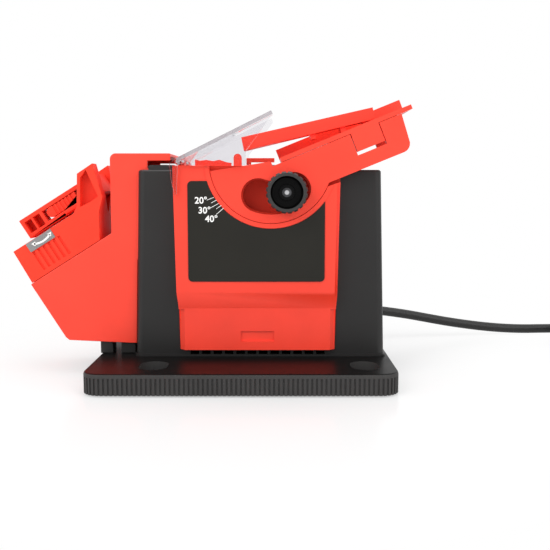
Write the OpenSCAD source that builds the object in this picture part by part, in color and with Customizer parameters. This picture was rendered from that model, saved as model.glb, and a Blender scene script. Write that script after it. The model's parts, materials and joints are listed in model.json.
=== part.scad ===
// Bench sharpener with a knife and chisel module, a drill module and one motor shaft for both.
// Millimetres, +Z up, -Y is the front. The origin is on the bench, under the middle of the base.

/* [Base] */
// Width of the base
base_w = 204; // [184:1:240]
// Depth of the base
base_d = 168; // [158:1:190]
// Height of the base moulding without its feet
base_h = 14; // [11:0.5:18]
// Corner radius of the base
base_r = 13; // [8:0.5:20]
// Wall of the base moulding
base_wall = 3; // [2:0.5:4]
// Height that the feet hold the base off the bench
foot_h = 1; // [1:0.5:3]
// Diameter of a foot
foot_d = 14; // [10:1:18]
// Spacing of the ribs round the skirt
rib_pitch = 3; // [3:0.5:6]
// Depth of the grooves between the ribs
rib_depth = 0.8; // [0.4:0.1:1.2]
// Spacing of the bench screws, side to side
bolt_dx = 140; // [130:1:150]
// Spacing of the bench screws, front to back
bolt_dy = 118; // [112:1:122]
// Diameter of a bench screw hole
bolt_d = 6; // [4:0.5:7]
// Width of the pocket round a bench screw
pocket_w = 19; // [14:0.5:22]
// Length of that pocket
pocket_l = 26; // [20:0.5:28]

/* [Tower] */
// Middle of the tower, right of the middle of the base
tower_x = 11.5; // [8:0.5:12]
// Width of the tower at its foot
tower_w = 174; // [168:1:176]
// Width of the tower at its top
tower_top_w = 167; // [162:1:168]
// Depth of the tower
tower_d = 74; // [70:1:76]
// Height of the tower
tower_h = 129.5; // [126:0.5:132]
// Depth of the bare ledge in front of the tower
ledge_d = 55; // [52:1:58]
// Radius of the tower's upright corners
tower_r = 5; // [3:0.5:7]
// Wall of the tower
tower_wall = 3; // [2.5:0.25:3.5]

/* [Drive] */
// Height of the motor shaft over the bench
shaft_z = 121; // [119:0.5:122]
// Diameter of the motor shaft
shaft_d = 6; // [5:0.5:7]
// Diameter of the grinding wheels
wheel_d = 56; // [52:1:57]
// Width of the chisel wheel
chisel_wheel_w = 24; // [18:1:25]
// Width of the drill wheel
drill_wheel_w = 12; // [9:0.5:13]
// Diameter of the motor can
motor_d = 36; // [32:1:36.5]
// Length of the motor can
motor_l = 55; // [48:1:57]
// Play of a shaft in its bearings, on the radius
running_gap = 0.05; // [0.03:0.01:0.08]

/* [Front module] */
// Width of the front housing at its top
front_top_w = 112.5; // [108:0.5:113]
// Width of the front housing at its foot
front_foot_w = 107.5; // [104:0.5:108.5]
// How far the front housing stands before the tower
front_proud = 14; // [12:0.5:18]
// How far the lower panel is set back
panel_set = 9; // [6:0.5:10]
// Wall of the front housing
front_wall = 2.5; // [2:0.25:3]
// Radius of the turning angle plate
plate_r = 41.2; // [38:0.2:42]
// Thickness of the angle plate
plate_t = 4; // [3:0.25:4.5]
// Tilt of the tool bed, as shown
bed_tilt = 22; // [20:1:26]
// Length of the tool bed
bed_l = 93; // [86:1:96]
// Depth of the tool bed, front to back
bed_d = 56; // [50:1:58]
// Diameter of the lock knob
knob_d = 27.5; // [24:0.5:29]
// Thickness of the clear guard
guard_t = 2.5; // [1.5:0.25:2.5]

/* [Drill module] */
// Tilt of the drill's axis
drill_tilt = 32; // [30:0.5:33]
// Depth of the drill module, front to back
drill_d = 63; // [60:0.5:64]
// Wall of the drill housing
drill_wall = 2.5; // [2:0.25:3]
// Length of the swinging cradle
cradle_l = 54; // [48:1:56]
// Depth of the drill clamp, front to back
clamp_d = 37; // [32:0.5:40]

/* [Cord] */
// Diameter of the mains lead
cord_d = 8; // [6:0.5:8]

/* [Hidden] */
$fn = 48;

// Finishes
black_abs = [0.09, 0.09, 0.10];
red_abs = [0.86, 0.12, 0.09];
steel = [0.70, 0.71, 0.73];
grit = [0.30, 0.30, 0.32];

// Fits: sliding faces, loose faces, and the overlap that keeps a cut clean
slide_gap = 0.3;
loose_gap = 0.5;
snug = 0.02;
eps = 0.05;

// Heights and depths that the pieces share
base_top = foot_h + base_h;
base_front = -base_d / 2;
tower_front = base_front + ledge_d;
tower_back = tower_front + tower_d;
tower_y = (tower_front + tower_back) / 2;
tower_top = base_top + tower_h;
shaft_y = tower_y + 1;
wheel_r = wheel_d / 2;
shaft_r = shaft_d / 2;

// Base details
cover_t = 3;
cover_hole_r = 1.9;
head_sink = 2.1;
groove_share = 0.43;
skirt_band_h = 3;
screw_r = 1.6;
screw_head_r = 3;
screw_head_h = 2;
screw_l = 8;
boss_r = 4.5;
pocket_floor = 6;
foot_dx = base_w / 2 - 14;
foot_dy = base_d / 2 - 36;
cover_screw_dx = base_w / 2 - 70;
cover_screw_dy = base_d / 2 - 16;
tower_screw_dx = min(tower_w / 2, tower_top_w / 2, base_w / 2 - tower_x) - 4.5;
tower_screw_dy = tower_d / 2 - 8;
web_t = 2;
web_l = tower_d / 2 - tower_screw_dy - tower_wall / 2;

// Tower spaces
foot_flange = 1.2;
foot_flange_h = 1.5;
sill_h = 5;
bay_d = 9;
bay_wall_y = tower_front + bay_d;
bay_floor = 82;
room_half = min(tower_w, tower_top_w) / 2 - tower_wall;
motor_wall_x = tower_x + room_half - motor_l - 4 - tower_wall;
drill_x = tower_x - 81.5;
drill_z = shaft_z + 19;
drill_wall_x = drill_x + 20;
drill_wall_t = 4;
vent_count = 12;
vent_w = 6;
vent_pitch = 8;

// Front module places
front_x = tower_x - 1.7;
front_y = tower_front - front_proud;
front_bottom = base_top + sill_h + slide_gap;
front_top = tower_top + 2.5;
deck_t = front_top - tower_top - slide_gap;
band_top = 62;
band_bottom = 50;
pivot_x = front_x + 9.5;
pivot_z = front_top + 2.7;
collar_w = 3;
collar_h = 0.8;
arm_l = bed_l - 2;
arm_h = 27.5;
arm_in = 45;
bed_t = 3;
bed_start = 6.7;
rail_w = 18;
window_start = 55.2;
window_l = 20.8;
window_bottom = 18;
tab_gap = 0.6;
tab_bottom = 15.7;
arm_floor_top = 18.8;
arm_floor_t = 2.2;
fence_h = 8;
slot_r = 24;
slot_half = 11.3;
knob_x = pivot_x + 10.5;
knob_z = pivot_z - 20.5;
knob_l = 14;
lock_r = 3;
lever_w = 16;
lever_y = front_y + bed_d / 2 - lever_w / 2 + 4;
lever_pin_u = 72;
lever_pin_v = 5;
lever_pin_r = 1.5;
guard_hinge_x = front_x - front_top_w / 2 + 4.05;
guard_hinge_z = front_top + 2.8;
guard_pin_r = 1.5;
guard_front = front_y + 2;
guard_back = tower_back - 21;
carriage_travel = 14;

// Drill module places: the drill's axis meets the drill wheel's left face here
drill_front = shaft_y - drill_d / 2;
drill_back = shaft_y + drill_d / 2;
box_left = drill_x - 22.3;
box_right = drill_wall_x - loose_gap;
box_top = drill_z + 16;
housing_bottom = 23.5;
seam_t = -21.5;
pivot_s = -52;
cradle_end = pivot_s - cradle_l;
housing_end = cradle_end - 1.5;
cradle_top = 4;
cradle_nose_x = drill_x - 30.5;
cheek_t = (drill_d - clamp_d) / 2 - slide_gap;
clamp_start = -93.5;
clamp_end = -30;
clamp_low = 6.7;
clamp_high = 21.5;
pivot_r = 4;
dock_top = 60;
shelf_t = 2.5;

// A plate with round corners, centred
module round_rect(w, d, r) {
    square([w - 2 * r, d], center = true);
    square([w, d - 2 * r], center = true);
    for (x = [-1, 1], y = [-1, 1])
        translate([x * (w / 2 - r), y * (d / 2 - r)])
            circle(r);
}

// A round bar along X from x0 to x1 about the motor shaft
module on_shaft(r, x0, x1) {
    translate([x0, shaft_y, shaft_z])
        rotate([0, 90, 0])
            cylinder(r = r, h = x1 - x0);
}

// A round bar along Y
module along_y(x, z, r, y0, y1) {
    translate([x, y0, z])
        rotate([-90, 0, 0])
            cylinder(r = r, h = y1 - y0);
}

// A front outline, drawn in X and Z, from y0 back to y1
module outline_y(points, y0, y1) {
    translate([0, y1, 0])
        rotate([90, 0, 0])
            linear_extrude(y1 - y0)
                polygon(points);
}

// A block between two corners
module block(low, high) {
    translate(low)
        cube(high - low);
}

// Children in the bed's own frame: +X along the bed, +Z off it, from the pivot
module bed_frame() {
    translate([pivot_x, 0, pivot_z])
        rotate([0, -bed_tilt, 0])
            children();
}

// Children in the drill's frame: +X along its axis to the wheel, +Z off the cradle
module drill_frame() {
    translate([drill_x, shaft_y, drill_z])
        rotate([0, -drill_tilt, 0])
            children();
}

// The place in X and Z of a point of the drill's frame
function at_drill(s, t) = [
    drill_x + s * cos(drill_tilt) - t * sin(drill_tilt),
    drill_z + s * sin(drill_tilt) + t * cos(drill_tilt)
];

// The height at which the drill's frame line t crosses the upright line x
function drill_line_z(t, x) =
    drill_z + (x - drill_x) * tan(drill_tilt) + t / cos(drill_tilt);

// Points of an arc
function arc(c, r, from, to, n) = [
    for (i = [0:n])
        let (a = from + (to - from) * i / n)
        c + r * [cos(a), sin(a)]
];

// The rim of the base at distance u along it, moved out by off
rim_hx = base_w / 2 - base_r;
rim_hy = base_d / 2 - base_r;
rim_arc = base_r * PI / 2;
rim_half = 2 * rim_hx + 2 * rim_hy + 2 * rim_arc;
function rim_quarter(u, off) =
    u < 2 * rim_hy ? [base_w / 2 + off, u - rim_hy] :
    u < 2 * rim_hy + rim_arc ?
        [rim_hx, rim_hy] + (base_r + off) * turn((u - 2 * rim_hy) / rim_arc * 90) :
    u < 2 * rim_hy + rim_arc + 2 * rim_hx ?
        [rim_hx - (u - 2 * rim_hy - rim_arc), base_d / 2 + off] :
        [-rim_hx, rim_hy]
            + (base_r + off) * turn(90 + (u - 2 * rim_hy - rim_arc - 2 * rim_hx) / rim_arc * 90);
function turn(a) = [cos(a), sin(a)];
function rim(u, off) = u < rim_half ? rim_quarter(u, off) : -rim_quarter(u - rim_half, off);

// The skirt's outline: a groove after each rib
rib_count = floor(2 * rim_half / rib_pitch);
rib_step = 2 * rim_half / rib_count;
skirt_outline = [
    for (i = [0:rib_count - 1], k = [[0, 0], [1 - groove_share, 0], [1 - groove_share, 1], [1, 1]])
        rim((i + k[0]) * rib_step * 0.9999, -k[1] * rib_depth)
];

// Places of the four bench screws
bolt_places = [for (x = [-1, 1], y = [-1, 1]) [tower_x + x * bolt_dx / 2, y * bolt_dy / 2]];
tower_screw_places = [
    for (x = [-1, 1], y = [-1, 1])
        [tower_x + x * tower_screw_dx, tower_y + y * tower_screw_dy]
];
cover_screw_places = [for (x = [-1, 1], y = [-1, 1]) [x * cover_screw_dx, y * cover_screw_dy]];
foot_places = concat([[0, 0]], [for (x = [-1, 1], y = [-1, 1]) [x * foot_dx, y * foot_dy]]);

// The base moulding: ribbed skirt, rounded top, screw pockets and posts under its top
module base_plate() color(black_abs) {
    inner_w = base_w - 2 * base_wall;
    inner_d = base_d - 2 * base_wall;
    difference() {
        union() {
            difference() {
                union() {
                    translate([0, 0, foot_h])
                        linear_extrude(base_h - skirt_band_h)
                            polygon(skirt_outline);
                    hull($fn = 32) {
                        for (k = [[0, 1.2, 0], [1.8, 0.6, 0.4], [2.4, 0.6, 1.4]])
                            translate([0, 0, base_top - skirt_band_h + k[0]])
                                linear_extrude(k[1])
                                    round_rect(base_w - 2 * k[2], base_d - 2 * k[2], base_r - k[2]);
                    }
                }
                translate([0, 0, foot_h - eps])
                    linear_extrude(base_h - base_wall + eps)
                        round_rect(inner_w, inner_d, base_r - base_wall);
            }
            for (p = bolt_places)
                translate([p[0], p[1], foot_h + cover_t])
                    linear_extrude(base_h - base_wall - cover_t + eps)
                        round_rect(pocket_w + 2 * base_wall, pocket_l + 2 * base_wall, base_wall);
            for (p = concat(cover_screw_places, tower_screw_places))
                translate([p[0], p[1], foot_h + cover_t])
                    cylinder(r = boss_r, h = base_h - base_wall - cover_t + eps);
        }
        for (p = bolt_places) translate(p) {
            translate([0, 0, foot_h + pocket_floor])
                linear_extrude(base_h)
                    round_rect(pocket_w, pocket_l, pocket_w / 2 - eps);
            cylinder(d = bolt_d, h = base_top);
        }
        for (p = cover_screw_places)
            translate([p[0], p[1], foot_h])
                cylinder(r = screw_r + snug, h = head_sink + screw_l + 0.4);
        for (p = tower_screw_places)
            translate(p)
                cylinder(r = screw_r + slide_gap, h = base_top + 1);
    }
}

// The flat cover that closes the base from below
module bottom_cover() color(black_abs) {
    cover_gap = slide_gap;
    difference() {
        translate([0, 0, foot_h])
            linear_extrude(cover_t)
                round_rect(base_w - 2 * (base_wall + cover_gap), base_d - 2 * (base_wall + cover_gap),
                    base_r - base_wall - cover_gap);
        for (p = bolt_places)
            translate([p[0], p[1], 0])
                cylinder(d = bolt_d + 2 * slide_gap, h = base_top);
        for (p = concat(cover_screw_places, tower_screw_places)) translate(p) {
            cylinder(r = screw_head_r + slide_gap, h = foot_h + head_sink);
            cylinder(r = cover_hole_r, h = base_top);
        }
    }
}

// A pan head screw that points up from its head's lower face
module pan_screw(l) {
    cylinder(r = screw_head_r, h = screw_head_h);
    cylinder(r = screw_r, h = screw_head_h + l);
}

module cover_screws() color(steel)
    for (p = cover_screw_places)
        translate([p[0], p[1], foot_h + head_sink - screw_head_h])
            pan_screw(screw_l);

module tower_screws() color(steel)
    for (p = tower_screw_places)
        translate([p[0], p[1], foot_h + head_sink - screw_head_h])
            pan_screw(base_h - head_sink + screw_l);

module rubber_feet() color([0.05, 0.05, 0.05])
    for (p = foot_places)
        translate(p)
            rotate_extrude()
                polygon([[0, 0], [foot_d / 2 - 0.8, 0], [foot_d / 2, foot_h], [0, foot_h]]);

// The front housing's outline in X and Z, grown by gap
function front_outline(gap) = [
    [front_x - front_foot_w / 2 - gap, front_bottom - gap],
    [front_x + front_foot_w / 2 + gap, front_bottom - gap],
    [front_x + front_top_w / 2 + gap, front_top + gap],
    [front_x - front_top_w / 2 - gap, front_top + gap]
];

// The tower: two pillars, a bay for the front housing, a chamber for each wheel and a motor room
module tower_shell() color(black_abs) {
    inner_low = tower_front + tower_wall;
    room = [tower_x - room_half, tower_x + room_half];
    motor_room_x = motor_wall_x + tower_wall;
    bay_half = front_top_w / 2 + slide_gap + tower_wall;
    pillar_in = [front_x - bay_half, front_x + bay_half];
    rim_top = tower_top + 3.3;
    difference() {
        union() {
            translate([tower_x, tower_y, base_top])
                hull($fn = 32) {
                    linear_extrude(eps)
                        round_rect(tower_w, tower_d, tower_r);
                    translate([0, 0, tower_h - 1])
                        linear_extrude(eps)
                            round_rect(tower_top_w, tower_d, tower_r);
                    translate([0, 0, tower_h - eps])
                        linear_extrude(eps)
                            round_rect(tower_top_w - 2, tower_d - 2, tower_r - 1);
                }
            translate([tower_x, tower_y, base_top])
                linear_extrude(foot_flange_h)
                    round_rect(tower_w + 2 * foot_flange, tower_d + 2 * foot_flange,
                        tower_r + foot_flange);
            // the raised rim before the drill wheel
            outline_y([
                [drill_x + 5, tower_top - 2], [drill_x + 23, tower_top - 2], [drill_x + 23, rim_top],
                [drill_x + 6, rim_top], [drill_x + 5, rim_top - 1]
            ], tower_front + 2, drill_front - 2 * slide_gap);
        }
        // the bay, open to the front and the top
        outline_y(front_outline(slide_gap), tower_front - foot_flange - 1, bay_wall_y);
        block([drill_wall_x + drill_wall_t, bay_wall_y - eps, bay_floor],
            [motor_wall_x, tower_back - tower_wall, tower_top + 1]);
        // the drill wheel's chamber, open to the left and the top
        block([tower_x - tower_w, drill_front - slide_gap, bay_floor],
            [drill_wall_x, drill_back + slide_gap, tower_top + 1]);
        // the room under the bay and the motor room, open to the base
        block([room[0], bay_wall_y + tower_wall, base_top - 1],
            [room[1], tower_back - tower_wall, bay_floor - tower_wall]);
        block([motor_room_x, bay_wall_y + tower_wall, base_top - 1],
            [room[1], tower_back - tower_wall, tower_top - tower_wall - slide_gap]);
        // the two hollow pillars
        block([room[0], inner_low, base_top - 1],
            [pillar_in[0], bay_wall_y + tower_wall + eps, bay_floor - tower_wall]);
        block([pillar_in[1], inner_low, base_top - 1],
            [room[1], bay_wall_y + tower_wall + eps, tower_top - tower_wall - slide_gap]);
        // vents in the sill, and the duct behind them
        block([front_x - front_foot_w / 2 + tower_wall, inner_low, base_top - 1],
            [front_x + front_foot_w / 2 - tower_wall, bay_wall_y + tower_wall + eps,
                front_bottom - slide_gap - 2]);
        for (i = [0:vent_count - 1])
            translate([front_x + (i - (vent_count - 1) / 2) * vent_pitch - vent_w / 2,
                tower_front - foot_flange - 1, base_top + foot_flange_h])
                cube([vent_w, tower_wall + foot_flange + 2, sill_h]);
        // the shaft's bearing seat, the motor's nose and its screws
        on_shaft(bush_r + snug, drill_wall_x - 1, drill_wall_x + bush_l + 1);
        on_shaft(motor_nose_r + slide_gap, motor_wall_x - 1, motor_wall_x + tower_wall + 1);
        for (z = [-1, 1])
            translate([0, 0, z * motor_screw_off])
                on_shaft(screw_r + snug, motor_wall_x - 1, motor_wall_x + tower_wall + 1);
        // the switch's cut-out, the cord's hole and the screws from below
        block([switch_x - switch_room - eps, switch_y - switch_l / 2, switch_z - switch_h / 2],
            [switch_x + tower_wall + 4, switch_y + switch_l / 2, switch_z + switch_h / 2]);
        along_y(relief_x, relief_z, relief_neck_r + snug, tower_back - tower_wall - 1, tower_back + 1);
        for (p = tower_screw_places)
            translate([p[0], p[1], base_top - 1])
                cylinder(r = boss_r - 1, h = screw_l + 4);
    }
    difference() {
        on_shaft(bush_r + tower_wall, drill_wall_x + drill_wall_t - eps, drill_wall_x + bush_l);
        on_shaft(bush_r + snug, drill_wall_x - 1, drill_wall_x + bush_l + 1);
    }
    // the screw bosses, each with a web to the wall before or behind it
    for (p = tower_screw_places)
        translate([p[0], p[1], base_top])
            difference() {
                union() {
                    cylinder(r = boss_r, h = screw_l + 4);
                    rotate([0, 0, p[1] > tower_y ? 0 : 180])
                        block([-web_t / 2, 0, 0], [web_t / 2, web_l, screw_l + 4]);
                }
                translate([0, 0, -1])
                    cylinder(r = screw_r + snug, h = screw_l + 2);
            }
}

// Three posts that the drill housing drops over
dock_post_d = 12;
module drill_dock() color(black_abs) {
    dock_y0 = drill_front + drill_wall + loose_gap;
    dock_y1 = drill_back - drill_wall - loose_gap;
    dock_right = tower_x - tower_w / 2 - foot_flange - loose_gap;
    for (p = [[-25.1, -16.2, dock_y0], [-10.4, 0, dock_y0], [-10.4, 0, dock_y1 - dock_post_d]])
        block([dock_right + p[0], p[2], base_top], [dock_right + p[1], p[2] + dock_post_d, dock_top]);
}

// Drive
bush_r = 5;
bush_l = 8;
motor_nose_r = 6.5;
motor_wall_t = 1.5;
motor_screw_off = 12.5;
motor_x = motor_wall_x + tower_wall;
shaft_end = -78;
chisel_wheel_x = motor_wall_x - chisel_wheel_w - 5;
drill_wheel_x = drill_x + 2;
hub_r = 6;
hub_flange_r = 11;
hub_flange_t = 4;
flange_r = 9;
flange_t = 2;
nut_t = 4;
rotor_r = 13;

module motor_can() color(steel) {
    difference() {
        union() {
            on_shaft(motor_d / 2, motor_x, motor_x + motor_l);
            on_shaft(motor_nose_r, motor_x - tower_wall, motor_x + eps);
        }
        on_shaft(motor_d / 2 - motor_wall_t, motor_x + flange_t, motor_x + motor_l + 1);
        on_shaft(shaft_r + running_gap, motor_x - tower_wall - 1, motor_x + flange_t + 1);
        for (z = [-1, 1])
            translate([0, 0, z * motor_screw_off])
                on_shaft(screw_r + snug, motor_x - 1, motor_x + flange_t + 1);
    }
}

module motor_end_cap() color([0.15, 0.15, 0.16]) {
    cap_x = motor_x + motor_l - hub_flange_t;
    difference() {
        union() {
            on_shaft(motor_d / 2 - motor_wall_t - snug, cap_x, motor_x + motor_l);
            on_shaft(motor_nose_r, motor_x + motor_l - eps, motor_x + motor_l + 2);
        }
        on_shaft(shaft_r + running_gap, cap_x - 1, motor_x + motor_l + 1);
    }
}

module motor_screws() color(steel)
    for (z = [-1, 1])
        translate([0, 0, z * motor_screw_off]) {
            on_shaft(screw_head_r, motor_wall_x - screw_head_h, motor_wall_x);
            on_shaft(screw_r, motor_wall_x - eps, motor_x + flange_t + 1);
        }

module motor_rotor() color([0.55, 0.30, 0.16]) {
    slot_count = 12;
    difference() {
        on_shaft(rotor_r, motor_x + 9, motor_x + 41);
        on_shaft(shaft_r, motor_x, motor_x + motor_l);
        for (i = [0:slot_count - 1])
            translate([motor_x, shaft_y, shaft_z])
                rotate([i * 360 / slot_count, 0, 0])
                    translate([8, rotor_r - 2.5, -0.8])
                        cube([34, 4, 1.6]);
    }
}

module motor_shaft() color(steel)
    on_shaft(shaft_r, shaft_end, motor_x + motor_l + 0.5);

module shaft_bush() color([0.72, 0.52, 0.25])
    difference() {
        on_shaft(bush_r, drill_wall_x, drill_wall_x + bush_l);
        on_shaft(shaft_r + running_gap, drill_wall_x - 1, drill_wall_x + bush_l + 1);
    }

// A grinding wheel with its edges eased
module grinding_wheel(x, w, bore_r) {
    ease = 0.6;
    translate([x, shaft_y, shaft_z])
        rotate([0, 90, 0])
            rotate_extrude($fn = 64)
                polygon([
                    [bore_r, 0], [wheel_r - ease, 0], [wheel_r, ease],
                    [wheel_r, w - ease], [wheel_r - ease, w], [bore_r, w]
                ]);
}

module chisel_wheel() color(grit)
    grinding_wheel(chisel_wheel_x, chisel_wheel_w, hub_r + snug);

module wheel_hub() color(steel)
    difference() {
        union() {
            on_shaft(hub_r, chisel_wheel_x - hub_flange_t, chisel_wheel_x + chisel_wheel_w);
            on_shaft(hub_flange_r, chisel_wheel_x - hub_flange_t, chisel_wheel_x);
        }
        on_shaft(shaft_r, chisel_wheel_x - hub_flange_t - 1, chisel_wheel_x + chisel_wheel_w + 1);
    }

module drill_wheel() color(grit)
    grinding_wheel(drill_wheel_x, drill_wheel_w, shaft_r);

module wheel_flanges() color(steel)
    for (x = [drill_wheel_x - flange_t, drill_wheel_x + drill_wheel_w])
        difference() {
            on_shaft(flange_r, x, x + flange_t);
            on_shaft(shaft_r, x - 1, x + flange_t + 1);
        }

module shaft_nut() color(steel)
    difference() {
        translate([drill_wheel_x - flange_t - nut_t, shaft_y, shaft_z])
            rotate([0, 90, 0])
                cylinder(r = 5.8, h = nut_t, $fn = 6);
        on_shaft(shaft_r, shaft_end, 0);
    }

// Switch, low on the tower's right side
switch_y = tower_y + 12;
switch_z = 66;
switch_x = tower_side_x(switch_z) - 1.8;
switch_l = 28;
switch_h = 14;
switch_room = 14;
switch_wall = 1.5;

module switch_frame() color(black_abs) {
    lip = 1.5;
    lip_z = switch_h / 2 + lip;
    face_x = max(tower_side_x(switch_z - lip_z), tower_side_x(switch_z + lip_z)) + eps;
    fit = snug;
    difference() {
        union() {
            block([switch_x - switch_room, switch_y - switch_l / 2 + fit, switch_z - switch_h / 2 + fit],
                [face_x + lip / 2, switch_y + switch_l / 2 - fit, switch_z + switch_h / 2 - fit]);
            block([face_x, switch_y - switch_l / 2 - lip, switch_z - switch_h / 2 - lip],
                [face_x + lip, switch_y + switch_l / 2 + lip, switch_z + switch_h / 2 + lip]);
        }
        block([switch_x - switch_room + switch_wall, switch_y - switch_l / 2 + switch_wall,
                switch_z - switch_h / 2 + switch_wall],
            [face_x + lip + 1, switch_y + switch_l / 2 - switch_wall,
                switch_z + switch_h / 2 - switch_wall]);
        translate([rocker_x, switch_y, switch_z - switch_h])
            cylinder(r = rocker_pin_r + running_gap, h = 2 * switch_h);
    }
}

// The tower's right face at height z
function tower_side_x(z) =
    tower_x + (tower_w - (tower_w - tower_top_w) * (z - base_top) / (tower_h - 1)) / 2;

// The tower's left face at height z
function tower_left_x(z) = 2 * tower_x - tower_side_x(z);

// The rocker turns on two stubs in the frame's upper and lower walls
rocker_x = switch_x - 5;
rocker_pin_r = 1.5;
module switch_rocker() color([0.75, 0.08, 0.06]) {
    half_l = switch_l / 2 - switch_wall - 2;
    half_h = switch_h / 2 - switch_wall - slide_gap;
    tip = 7;
    translate([rocker_x, switch_y, switch_z - half_h])
        linear_extrude(2 * half_h)
            polygon([[-3, -3], [-3, 3], [1, half_l], [tip, half_l], [tip - 1.6, 0], [tip - 1, -half_l],
                [1, -half_l]]);
    translate([rocker_x, switch_y, switch_z])
        cylinder(r = rocker_pin_r, h = switch_h - 1, center = true);
}

// Mains lead
relief_x = 70;
relief_z = 32;
relief_l = 30;
relief_neck_r = 6;
cord_r = cord_d / 2;
cord_sides = 8;
coil_sides = 6;
cord_route = [
    [relief_x, tower_back + relief_l, relief_z], [relief_x, tower_back + relief_l + 9, relief_z],
    [72, 96, 31], [79, 107, 29], [90, 115, 27], [104, 120, 25],
    [122, 124, 22.5], [140, 127, 19.5], [158, 129, 16], [176, 131, 12.5], [194, 133, 9.5],
    [212, 135, 7], [230, 137, 5.2], [248, 139, 4.2], [266, 141, 4], [284, 142, 4], [302, 143, 4],
    [312, 143, 4]
];

// The coil: one spiral in on the bench, a climb, and one spiral out on top
coil_x = 320;
coil_turns = 5.25;
coil_pitch = cord_d + 0.7;
coil_mid_r = 44;
coil_ring = 24;
coil_out_r = coil_mid_r + coil_pitch * coil_turns / 4;
coil_y = 143 - coil_out_r;
function coil_radius(t) = coil_out_r - coil_pitch * (t < coil_turns / 2 ? t : coil_turns - t);
function coil_rise(t) = cord_r + coil_pitch * min(1, max(0, (t - coil_turns / 2) * 2 + 0.5));
function coil_point(t) = [
    coil_x + coil_radius(t) * sin(360 * t),
    coil_y + coil_radius(t) * cos(360 * t),
    coil_rise(t)
];
coil_steps = round(coil_turns * coil_ring);
tail = [[0, -8, 0], [0, -22, -0.6], [0, -38, -2.2], [0, -54, -3.8], [0, -64, -4.4], [0, -72, -4.4]];
coil_end = coil_point(coil_turns);
coil_path = concat(
    [[312, 143, 4], [318, 143, 4]],
    [for (i = [1:coil_steps]) coil_point(i / coil_ring)],
    [for (p = tail) coil_end + p]
);
plug_at = coil_end + tail[len(tail) - 1];

function unit(v) = v / norm(v);
function path_dir(p, i) =
    i == 0 ? unit(p[1] - p[0]) :
    i == len(p) - 1 ? unit(p[i] - p[i - 1]) :
    unit(unit(p[i + 1] - p[i]) + unit(p[i] - p[i - 1]));
function path_side(p, i) = unit(cross(path_dir(p, i), [0, 0, 1]));
function path_up(p, i) = cross(path_side(p, i), path_dir(p, i));
function path_length(p) = [for (i = [1:len(p) - 1]) norm(p[i] - p[i - 1])] * [for (i = [1:len(p) - 1]) 1];

// A round tube of the given sides along a path
module tube(p, r, sides) {
    n = len(p);
    points = [
        for (i = [0:n - 1], k = [0:sides - 1])
            let (a = 360 * (k + 0.5) / sides)
            p[i] + r * (cos(a) * path_side(p, i) + sin(a) * path_up(p, i))
    ];
    walls = [
        for (i = [0:n - 2], k = [0:sides - 1])
            let (a = i * sides + k, b = i * sides + (k + 1) % sides)
            each [[a, a + sides, b], [b, a + sides, b + sides]]
    ];
    ends = [
        for (k = [1:sides - 2])
            each [[0, k, k + 1], [(n - 1) * sides, (n - 1) * sides + k + 1, (n - 1) * sides + k]]
    ];
    polyhedron(points, concat(walls, ends));
}

// Least clear distance between turns of the coil, and the whole length of the lead
coil_gap = min([
    for (i = [0:len(coil_path) - 9], j = [i + 8:len(coil_path) - 1])
        norm(coil_path[i] - coil_path[j])
]) - cord_d;
echo(coil_gap = coil_gap, cord_length = path_length(cord_route) + path_length(coil_path));

module strain_relief() color(black_abs) {
    flange_r0 = 9;
    flange_h0 = 2.5;
    ring_count = 5;
    along_y(relief_x, relief_z, relief_neck_r, tower_back - tower_wall, tower_back + eps);
    translate([relief_x, tower_back, relief_z])
        rotate([-90, 0, 0])
            rotate_extrude()
                polygon(concat(
                    [[0, 0], [flange_r0, 0], [flange_r0, flange_h0]],
                    [for (i = [0:ring_count - 1], k = [0, 1, 2, 3])
                        let (h = flange_h0 + 0.5 + (i + k / 4) * (relief_l - flange_h0 - 2) / ring_count)
                        [7.4 - 2.2 * h / relief_l - (k > 1 ? 0.8 : 0), h]],
                    [[cord_r + 0.6, relief_l], [0, relief_l]]
                ));
}

module power_cord() color(black_abs) tube(cord_route, cord_r, cord_sides);

module cord_coil() color(black_abs) tube(coil_path, cord_r, coil_sides);

// A strap round the coil's turns
module cord_tie() color([0.07, 0.07, 0.07]) {
    inner = coil_mid_r - coil_pitch * coil_turns / 4 - cord_r - 1.2;
    outer = coil_out_r + cord_r + 1.2;
    top = 2 * cord_r + coil_pitch + 0.9;
    strap_w = 12;
    strap_t = 1.2;
    translate([coil_x, coil_y, 0])
        rotate([0, 0, 200])
            translate([0, -strap_w / 2, 0])
                difference() {
                    block([inner - strap_t, 0, 0.2], [outer + strap_t, strap_w, top + strap_t]);
                    block([inner, -1, -1], [outer, strap_w + 1, top]);
                }
}

// The plug: a flat moulded body that tapers to the lead
plug_l = 42;
plug_w = 34;
plug_taper = 16;
plug_h = 2 * plug_at[2] - 0.2;
plug_pin_r = 2.4;
plug_pin_l = 19;
plug_pin_dx = 19;
module plug_body() color(black_abs)
    translate(plug_at)
        linear_extrude(plug_h, center = true)
            polygon([
                [-cord_r - 1, 0], [-plug_w / 2, -plug_taper], [-plug_w / 2, 4 - plug_l],
                [4 - plug_w / 2, -plug_l], [plug_w / 2 - 4, -plug_l], [plug_w / 2, 4 - plug_l],
                [plug_w / 2, -plug_taper], [cord_r + 1, 0]
            ]);

module plug_pins() color(steel)
    for (x = [-1, 1])
        translate(plug_at + [x * plug_pin_dx / 2, -plug_l, 0])
            rotate([90, 0, 0])
                cylinder(r = plug_pin_r, h = plug_pin_l);

// A side outline, drawn in Y and Z, from x0 across to x1
module outline_x(points, x0, x1) {
    translate([x0, 0, 0])
        rotate([90, 0, 90])
            linear_extrude(x1 - x0)
                polygon(points);
}

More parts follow.
